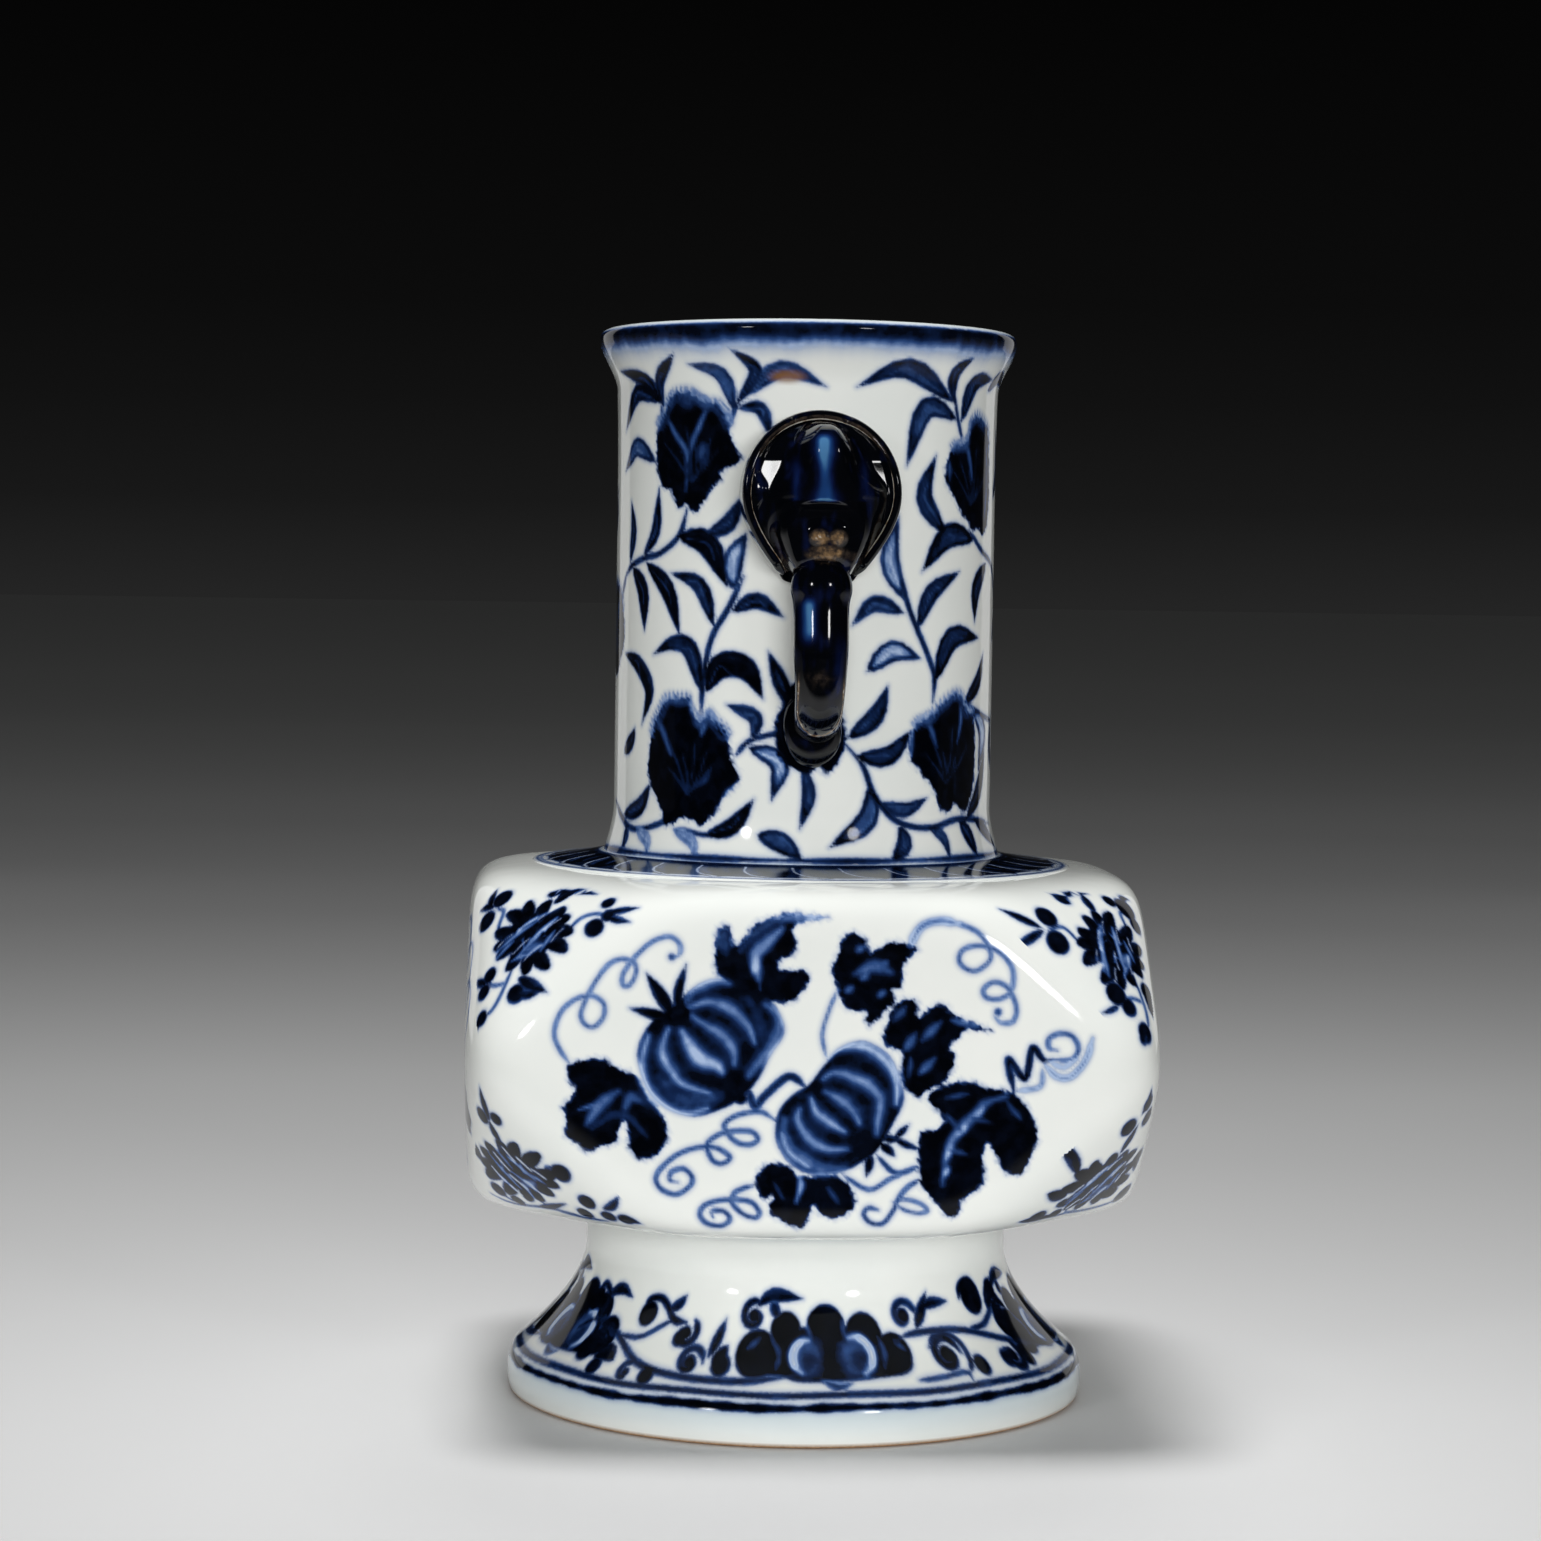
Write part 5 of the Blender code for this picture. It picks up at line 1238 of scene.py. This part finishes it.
def head_skin():
    """The face as level slices from crown to chin, each a full arch that bulges from the neck.

    Over a slice the bulge falls in an S-curve to flat cheeks, which slope back gently, the left one more than
    the right, and turn up into the hood's edge. Down the middle are a ledge under the forehead and a lobed
    snout over the trunk's root.
    """
    crown_rows = np.linspace(0.06, math.pi / 2, 50)
    chin_rows = np.linspace(0.0, 0.93, 70)[1:]
    cap_rows = np.linspace(0.0, math.pi / 2, 10)[1:-1]
    cap = -CHIN * (0.93 + 0.07 * np.sin(cap_rows))
    level = np.concatenate([CROWN * np.cos(crown_rows), -CHIN * chin_rows, cap])
    close = np.concatenate([np.ones(len(crown_rows) + len(chin_rows)), np.cos(cap_rows)])[:, None]
    dome = np.concatenate([np.sin(crown_rows), np.ones(len(chin_rows) + len(cap_rows))])
    down = np.clip(-level / CHIN, 0, 1)
    narrow = CHIN_HALF_WIDTH + (HEAD_HALF_WIDTH - CHIN_HALF_WIDTH) * np.cos(down * math.pi / 2)
    half = (np.where(level > 0, HEAD_HALF_WIDTH * dome, narrow) + 0.35)[:, None]
    round_top = np.sqrt(1 - (np.clip(level, 0, CROWN) / CROWN) ** 8)
    chin = 0.35 * smooth((down - 0.15) / 0.6) + 0.65 * smooth((down - 0.85) / 0.15)
    reach = FOREHEAD * round_top - (FOREHEAD - CHIN_REACH) * chin - 0.25 * np.clip(5.0 - level, 0, 5.8)
    lift = level[:, None]

    turn = np.concatenate([np.linspace(0, math.pi, 121), np.linspace(math.pi, math.tau, 41)[1:-1]])
    in_front = turn <= math.pi
    side = np.cos(turn)
    x = half * close * side
    deep = 1.6 + reach[:, None]
    cheek = np.clip(lift, 0.5, 4.5)
    valley = (ear_reach(np.minimum(lift, 0)) + ear_reach(np.maximum(lift, 4.5)) - ear_reach(4.5)
              + 0.8 - 0.12 * (cheek - 0.5) + 3.1 * (1 - np.sqrt(1 - (cheek / CROWN) ** 2)))
    blunt = np.sqrt(side ** 2 + 0.03)
    left = side < 0
    lean = np.where(left, 0.36, 0.21)
    fold = 0.9 - 0.14 * smooth((3.0 - lift) / 2.4) * smooth((lift + 3.0) / 3.0) * left
    flat = valley + lean * half * np.maximum(0.93 - blunt, 0) + 0.5 * smooth((np.abs(side) - fold) / 0.1)
    low = smooth((-lift - 1) / 5)
    edge = 0.64 + np.where(left, 0.13, 0.22) * smooth((4.0 - lift) / 4.5)
    edge = edge + 0.08 * low + np.where(left, 0.0, 0.12 * (1 - low))
    fall = smooth((edge - np.abs(side)) / (0.54 - 0.24 * low))
    bulge = np.maximum(deep - valley - 0.757 * lean * half, 0) * fall
    depth = flat + bulge
    ledge = 0.9 * smooth((-0.8 - 0.05 * x * x - lift) / 0.6) * smooth((lift + 6.0) / 3.0) * bell(x / 2.7)
    lobes = 0.9 * (bell(np.hypot(x + 0.6, lift + 5.8) / 1.1) + bell(np.hypot(x - 1.9, lift + 5.8) / 1.1))
    snout = 0.7 * bell(np.hypot((x - 0.6) / 2.6, (lift + 7.8) / 1.4))
    root = 0.8 * bell((lift + 10.0) / 0.8) * bell(x / 4.5)
    depth = np.where(in_front, depth + lobes + snout - ledge - root, -1.2 * np.abs(np.sin(turn)))
    y = -WALL_MIDDLE - 0.5 * (1.6 + reach[:, None]) * (1 - close) - depth * close
    points = np.stack([x, y, np.broadcast_to(HEAD_LEVEL + lift, x.shape)], axis=2)
    golden = bell(np.hypot((x + 0.5) / 1.4, (lift + 5.9) / 1.1) ** 2)
    golden = np.maximum(golden, bell(np.hypot((x - 1.9) / 1.3, (lift + 5.9) / 1.1) ** 2))
    golden = np.maximum(golden, 0.85 * bell(np.hypot((x - 0.5) / 2.9, (lift + 8.0) / 1.2) ** 2))
    jaw = bell((np.abs(x) - 4.9) / 1.5) * bell((lift + 9.2) / 1.6)
    # Pale-blue streaks down the forehead and fainter ones beside it, in the sky field: partly glaze that ran
    # thick and fired pale blue, partly a painted reflection
    width = 0.95 + 0.9 * bell((lift + 0.8) / 1.5) + 0.4 * smooth((lift - 2.5) / 3)
    streak = (0.72 + 0.28 * smooth((lift - 2.5) / 3)) * bell((x - 0.1 + 0.05 * lift) / width)
    beside = (0.4 * bell((x + 3.7) / 0.7) + 0.3 * bell((x - 5.4) / 0.8)) * smooth((6.0 - lift) / 3)
    sky = smooth((lift + 1.3) / 0.4) * (streak * smooth((8.6 - lift) / 2.0) + beside)
    # A pale-blue line along the ledge's edge under the forehead, added to the sky field: a painted highlight
    lip = 0.6 * bell((lift + 1.0 + 0.05 * x * x) / 0.2) * bell(x / 2.0)
    thin = np.where(in_front, 0.62 * golden + 0.3 * jaw, 0.0)
    crown_end = (0, -WALL_MIDDLE - 0.4, HEAD_LEVEL + CROWN)
    chin_end = (0, -WALL_MIDDLE - 5.0, HEAD_LEVEL - CHIN)
    return *capped(points, crown_end, chin_end, flip=True), thin, np.where(in_front, sky + lip, 0.0)


def ear_skin():
    """The right ear: a thin slab that stands out from the neck and follows the head from crown to jaw.

    Its middle line is the outline, half the slab's thickness in, and it runs 0.4 mm into the other ear at the
    crown. Across it the slab is a flattened oval whose front edge is thicker and catches the light.
    """
    crown_rows = np.linspace(-0.04, math.pi / 2, 56)
    jaw_rows = np.linspace(0.0, 1.0, 44)[1:]
    inset = EAR_THICKNESS / 2
    level = np.concatenate([(CROWN + inset) * np.cos(crown_rows), -(EAR_DROP - 0.4) * jaw_rows])
    tip = CHIN_HALF_WIDTH + inset
    wide = HEAD_HALF_WIDTH + inset
    x = np.concatenate([wide * np.sin(crown_rows), tip + (wide - tip) * np.cos(jaw_rows * math.pi / 2)])
    slope = np.stack([np.gradient(x), np.gradient(level)], axis=1)
    slope /= np.hypot(slope[:, 0], slope[:, 1])[:, None]
    down = np.clip(-level / EAR_DROP, 0, 1)
    root = -np.sqrt(NECK ** 2 - x ** 2) + 1.0
    rim = -NECK - ear_reach(level)
    turn = np.linspace(0, math.tau, 84, endpoint=False)
    along = np.sign(np.cos(turn)) * np.abs(np.cos(turn)) ** 0.55
    across = np.sign(np.sin(turn)) * np.abs(np.sin(turn)) ** 0.75
    bead = 1 + 0.25 * smooth((along - 0.6) / 0.4)
    y = ((root + rim) / 2)[:, None] + ((rim - root) / 2)[:, None] * along
    thick = EAR_THICKNESS / 2 * (1 - 0.7 * smooth((down - 0.85) / 0.15))[:, None] * across * bead
    z = HEAD_LEVEL + level[:, None] - thick * slope[:, :1]
    points = np.stack([x[:, None] + thick * slope[:, 1:], y, z], axis=2)
    # A pale line painted along the slab's front edge, in the thin field: a painted highlight where the rim
    # catches the light
    painted_rim_highlight = 1.7 * bell((turn - 0.5) / 0.12) * (1 - 0.4 * down)[:, None]
    brown_crown = 0.3 * bell((turn - 0.1) / 0.4) * smooth((level - 2.0) / 5.0)[:, None]
    ends = np.column_stack([x, (root + rim) / 2, HEAD_LEVEL + level])[[0, -1]]
    return *capped(points, *ends), np.maximum(painted_rim_highlight, brown_crown), np.zeros(y.shape)


def trunk_skin():
    """A round bar along the trunk's path: straight down, then through 75 degrees towards the neck.

    Its rounded top runs back behind the chin, and it has a slight collar where it leaves the mouth.
    """
    out = -(NECK + TRUNK_GAP + TRUNK_THICKNESS / 2)
    bend = HEAD_LEVEL - TRUNK_DROP
    fall = np.linspace(TRUNK_TOP, bend, 60)
    back = 0.9 * smooth((fall - 104.5) / 9.0) + 2.6 * smooth((fall - 114.0) / 4.0)
    straight = np.column_stack([out + back, fall])
    turn = np.linspace(0, math.radians(75), 30)[1:]
    curve = np.column_stack([out + TRUNK_BEND * (1 - np.cos(turn)), bend - TRUNK_BEND * np.sin(turn)])
    heading = curve[-1] - curve[-2]
    tail = curve[-1] + heading / np.hypot(*heading) * np.linspace(0.6, 2.6, 5)[:, None]
    path = np.concatenate([straight, curve, tail])
    way = np.gradient(path, axis=0)
    way /= np.hypot(way[:, 0], way[:, 1])[:, None]
    share = np.linspace(0, 1, len(path))
    radius = TRUNK_THICKNESS / 2 * (1 - 0.12 * smooth((share - 0.45) / 0.4))
    radius = radius + 0.4 * bell((path[:, 1] - 113.9) / 1.5)
    radius = radius * np.sqrt(1 - 0.9 * np.clip(1 - (TRUNK_TOP - path[:, 1]) / 2.4, 0, 1) ** 2)
    angle = np.linspace(0, math.tau, 120, endpoint=False)
    x = 1.07 * radius[:, None] * np.cos(angle)
    swing = radius[:, None] * np.sin(angle)
    y = path[:, :1] + swing * way[:, 1:]
    z = path[:, 1:] - swing * way[:, :1]
    front = smooth((np.sin(angle) + 0.5) / 0.5)
    # A pale ring painted round the trunk's rounded end on its outer side, in the thin field: a painted
    # reflection of the bright neck and floor
    round_end = np.hypot(x / 3.0, np.minimum(z - 98.2, 0) / 3.9) - 1
    thin = 0.8 * bell(round_end / 0.05) * smooth((103.5 - z) / 3.0)
    thin = thin + 0.2 * bell((z - 102.0) / 1.8) * bell((x + 0.4) / 3)
    # Pale streaks down the trunk's left and right, in the sky field: partly a painted reflection, partly
    # glaze that ran thick and fired pale blue
    sky = 1.0 * bell((x + 1.9) / 1.0) * smooth((z - 105.5) / 3) * smooth((113.5 - z) / 2)
    sky = sky + 0.3 * bell((x - 2.4) / 1.0) * smooth((z - 98) / 3) * smooth((110 - z) / 5)
    points = np.stack([x, y, z], axis=2)
    return *capped(points, (0, *path[0]), (0, *path[-1])), thin * front, sky * front


def pad_skin():
    """A squashed ball of clay whose outline wanders a little."""
    lift = np.linspace(0, math.pi, 34)[1:-1, None]
    turn = np.linspace(0, math.tau, 48, endpoint=False)
    wander = 1 - 0.05 * (1 + np.sin(3 * turn + 1.0) * np.sin(2 * lift)) * np.sin(lift)
    x = PAD_HALF[0] * np.sin(lift) * np.cos(turn) * wander - PAD_ASIDE
    y = -NECK - PAD_HALF[1] * np.sin(lift) * np.sin(turn) * wander
    z = np.broadcast_to(PAD_LEVEL + PAD_HALF[2] * np.cos(lift), x.shape)
    top, bottom = ((0, -NECK, PAD_LEVEL + half) for half in (PAD_HALF[2], -PAD_HALF[2]))
    return *capped(np.stack([x, y, z], axis=2), top, bottom, flip=True), np.zeros(x.shape), np.zeros(x.shape)


handle_glaze = dark_cobalt("dark_cobalt_handles")
skins = {"head": head_skin(), "ear_right": ear_skin(), "trunk": trunk_skin(), "trunk_pad": pad_skin()}
ear_points, ear_faces, ear_thin, ear_sky = skins["ear_right"]
skins["ear_left"] = (ear_points * (-1, 1, 1), [face[::-1] for face in ear_faces], ear_thin, ear_sky)
for handle_side, facing in (("front", 1.0), ("back", -1.0)):
    for part_name, (points, faces, thin, sky) in skins.items():
        placed = points * (facing, facing, 1.0)
        node_name = f"{handle_side}_{part_name}"
        fields = {"thin": np.append(thin, [0, 0]), "sky": np.append(sky, [0, 0])}
        piece = add_piece(node_name + "_glazed", placed, faces, fields, handle_glaze)
        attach(piece, "root")
        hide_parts(node_name)


# The studio: a pale floor in a pool of light round the vase that falls away into a dark room, the pool partly
# lit by the lamps and partly painted into the floor's grey, two small lamps that put bright points on the
# glaze, soft ones that give the light, and tall ones behind that edge the neck.
POOL_MIDDLE = (0.0, -0.06, 0.0)
POOL_HALF = 0.3
FLOOR_SPOKES = 96
LAMP_AIM = 0.08
floor_mesh = bpy.data.meshes.new("studio_floor")
spokes = np.linspace(0, math.tau, FLOOR_SPOKES, endpoint=False)
rings = np.array([0.02, 0.1, 0.3, 1.0, 3.0, 10.0, 80.0])[:, None]
x = rings * np.cos(spokes)
floor_points = np.stack([x, rings * np.sin(spokes), np.zeros(x.shape)], axis=2).reshape(-1, 3)
floor_faces = ring_quads(*x.shape).tolist() + [list(range(FLOOR_SPOKES))]
floor_mesh.from_pydata(floor_points.tolist(), [], floor_faces)
floor = bpy.data.objects.new("studio_floor", floor_mesh)
bpy.context.scene.collection.objects.link(floor)
paper = bpy.data.materials.new("studio_paper")
paper.use_nodes = True
tree = paper.node_tree
place = node(tree, "TexCoord", [], "Object")
away = node(tree, "VectorMath", [place, POOL_MIDDLE], "Value", operation="DISTANCE")
reach = node(tree, "Math", [away, POOL_HALF], operation="ADD")
near = node(tree, "Math", [POOL_HALF, reach], operation="DIVIDE")
# Painted pool of light: the floor's grey by distance from the vase, set to even out the lamps' own fall-off
shade = node(tree, "ValToRGB", [near], stops=(
    (0.01, "#929292"), (0.06, "#A4A4A4"), (0.1, "#A6A6A6"), (0.14, "#909090"), (0.18, "#7F7F7F"),
    (0.22, "#7A7A7A"), (0.26, "#7C7C7C"), (0.3, "#868686"), (0.34, "#919191"), (0.38, "#9C9C9C"),
    (0.42, "#A6A6A6"), (0.5, "#B2B2B2"), (0.58, "#BFBFBF"), (0.66, "#CCCCCC"), (0.74, "#D6D6D6"),
    (0.82, "#DDDDDD"), (1, "#DEDEDE")))
paper_shader = tree.nodes["Principled BSDF"]
front = node(tree, "SeparateXYZ", [place], "Y")
card = node(tree, "MapRange", [front, -0.15, -0.098], interpolation_type="SMOOTHSTEP")
paled = node(tree, "Mix", {0: card, 6: linear("#1C1C1C"), 7: shade}, 2, data_type="RGBA")
tree.links.new(paled, paper_shader.inputs["Base Color"])
paper_shader.inputs["Roughness"].default_value = 0.9
paper_shader.inputs["Specular IOR Level"].default_value = 0.0
floor_mesh.materials.append(paper)

# The room is a dark wall that fades upwards, for the camera and the glaze, and an even dim fill for the rest
world = bpy.data.worlds.new("studio_room")
bpy.context.scene.world = world
world.use_nodes = True
tree = world.node_tree
tree.nodes.clear()
heading = node(tree, "TexCoord", [], "Generated")
height = node(tree, "SeparateXYZ", [heading], "Z")
height = node(tree, "Math", [height, 5.0], operation="MULTIPLY", use_clamp=True)
wall = node(tree, "ValToRGB", [height], stops=(
    (0.0, "#242424"), (0.13, "#181818"), (0.27, "#111111"), (0.4, "#0C0C0C"), (0.8, "#050505")))
looks, mirrors, passes = (
    node(tree, "LightPath", [], ray) for ray in ("Is Camera Ray", "Is Glossy Ray", "Is Transmission Ray"))
straight = node(tree, "Math", [looks, mirrors], operation="MAXIMUM")
straight = node(tree, "Math", [straight, passes], operation="MAXIMUM")
seen = node(tree, "Background", {"Color": wall, "Strength": 1.0})
fill = node(tree, "Background", {"Color": linear("#DCDDDC"), "Strength": 0.1})
either = node(tree, "MixShader", [straight, fill, seen])
node(tree, "OutputWorld", {"Surface": either})


def lamp(name, azimuth, elevation, distance, width, height, watts, mirrored=True):
    """An oval lamp that faces the vase, placed by angles in degrees: azimuth 0 is in front, +90 is right.

    Mirrored says if the glaze shows it.
    """
    light = bpy.data.lights.new(name, "AREA")
    light.shape = "ELLIPSE"
    light.size = width
    light.size_y = height
    light.energy = watts
    holder = bpy.data.objects.new(name, light)
    bpy.context.scene.collection.objects.link(holder)
    holder.matrix_world = (
        Matrix.Translation((0.0, 0.0, LAMP_AIM)) @ Matrix.Rotation(math.radians(azimuth), 4, "Z")
        @ Matrix.Rotation(math.radians(90.0 - elevation), 4, "X") @ Matrix.Translation((0.0, 0.0, distance)))
    holder.visible_glossy = mirrored


lamp("front_soft", 4, 6, 1.3, 0.7, 0.3, 10.3, mirrored=False)
lamp("key_soft", -44, 27, 1.3, 0.7, 0.7, 1.0, mirrored=False)
lamp("top_soft", -75, 84, 1.1, 0.4, 0.4, 8.6, mirrored=False)
lamp("point_left", -37, 16, 1.2, 0.12, 0.15, 1.2)
lamp("point_right", 28, 16, 1.2, 0.14, 0.15, 1.2)
lamp("edge_left", -148, 5, 1.0, 0.35, 0.9, 0.5)
lamp("edge_right", 142, 5, 1.0, 0.35, 0.9, 0.5)
lamp("back_soft", 170, 55, 1.5, 0.7, 0.7, 3.5, mirrored=False)

camera_data = bpy.data.cameras.new("camera")
camera_data.sensor_width = 36.0
camera_data.lens = 86.32
camera = bpy.data.objects.new("camera", camera_data)
bpy.context.scene.collection.objects.link(camera)
camera.matrix_world = (
    Matrix.Rotation(math.radians(-3.1), 4, "Z") @ Matrix.Translation((-0.0045, -0.525, 0.1123))
    @ Matrix.Rotation(math.radians(90 - 2.64), 4, "X") @ Matrix.Rotation(math.radians(0.82), 4, "Z"))
bpy.context.scene.camera = camera
bpy.context.scene.view_settings.view_transform = "Standard"
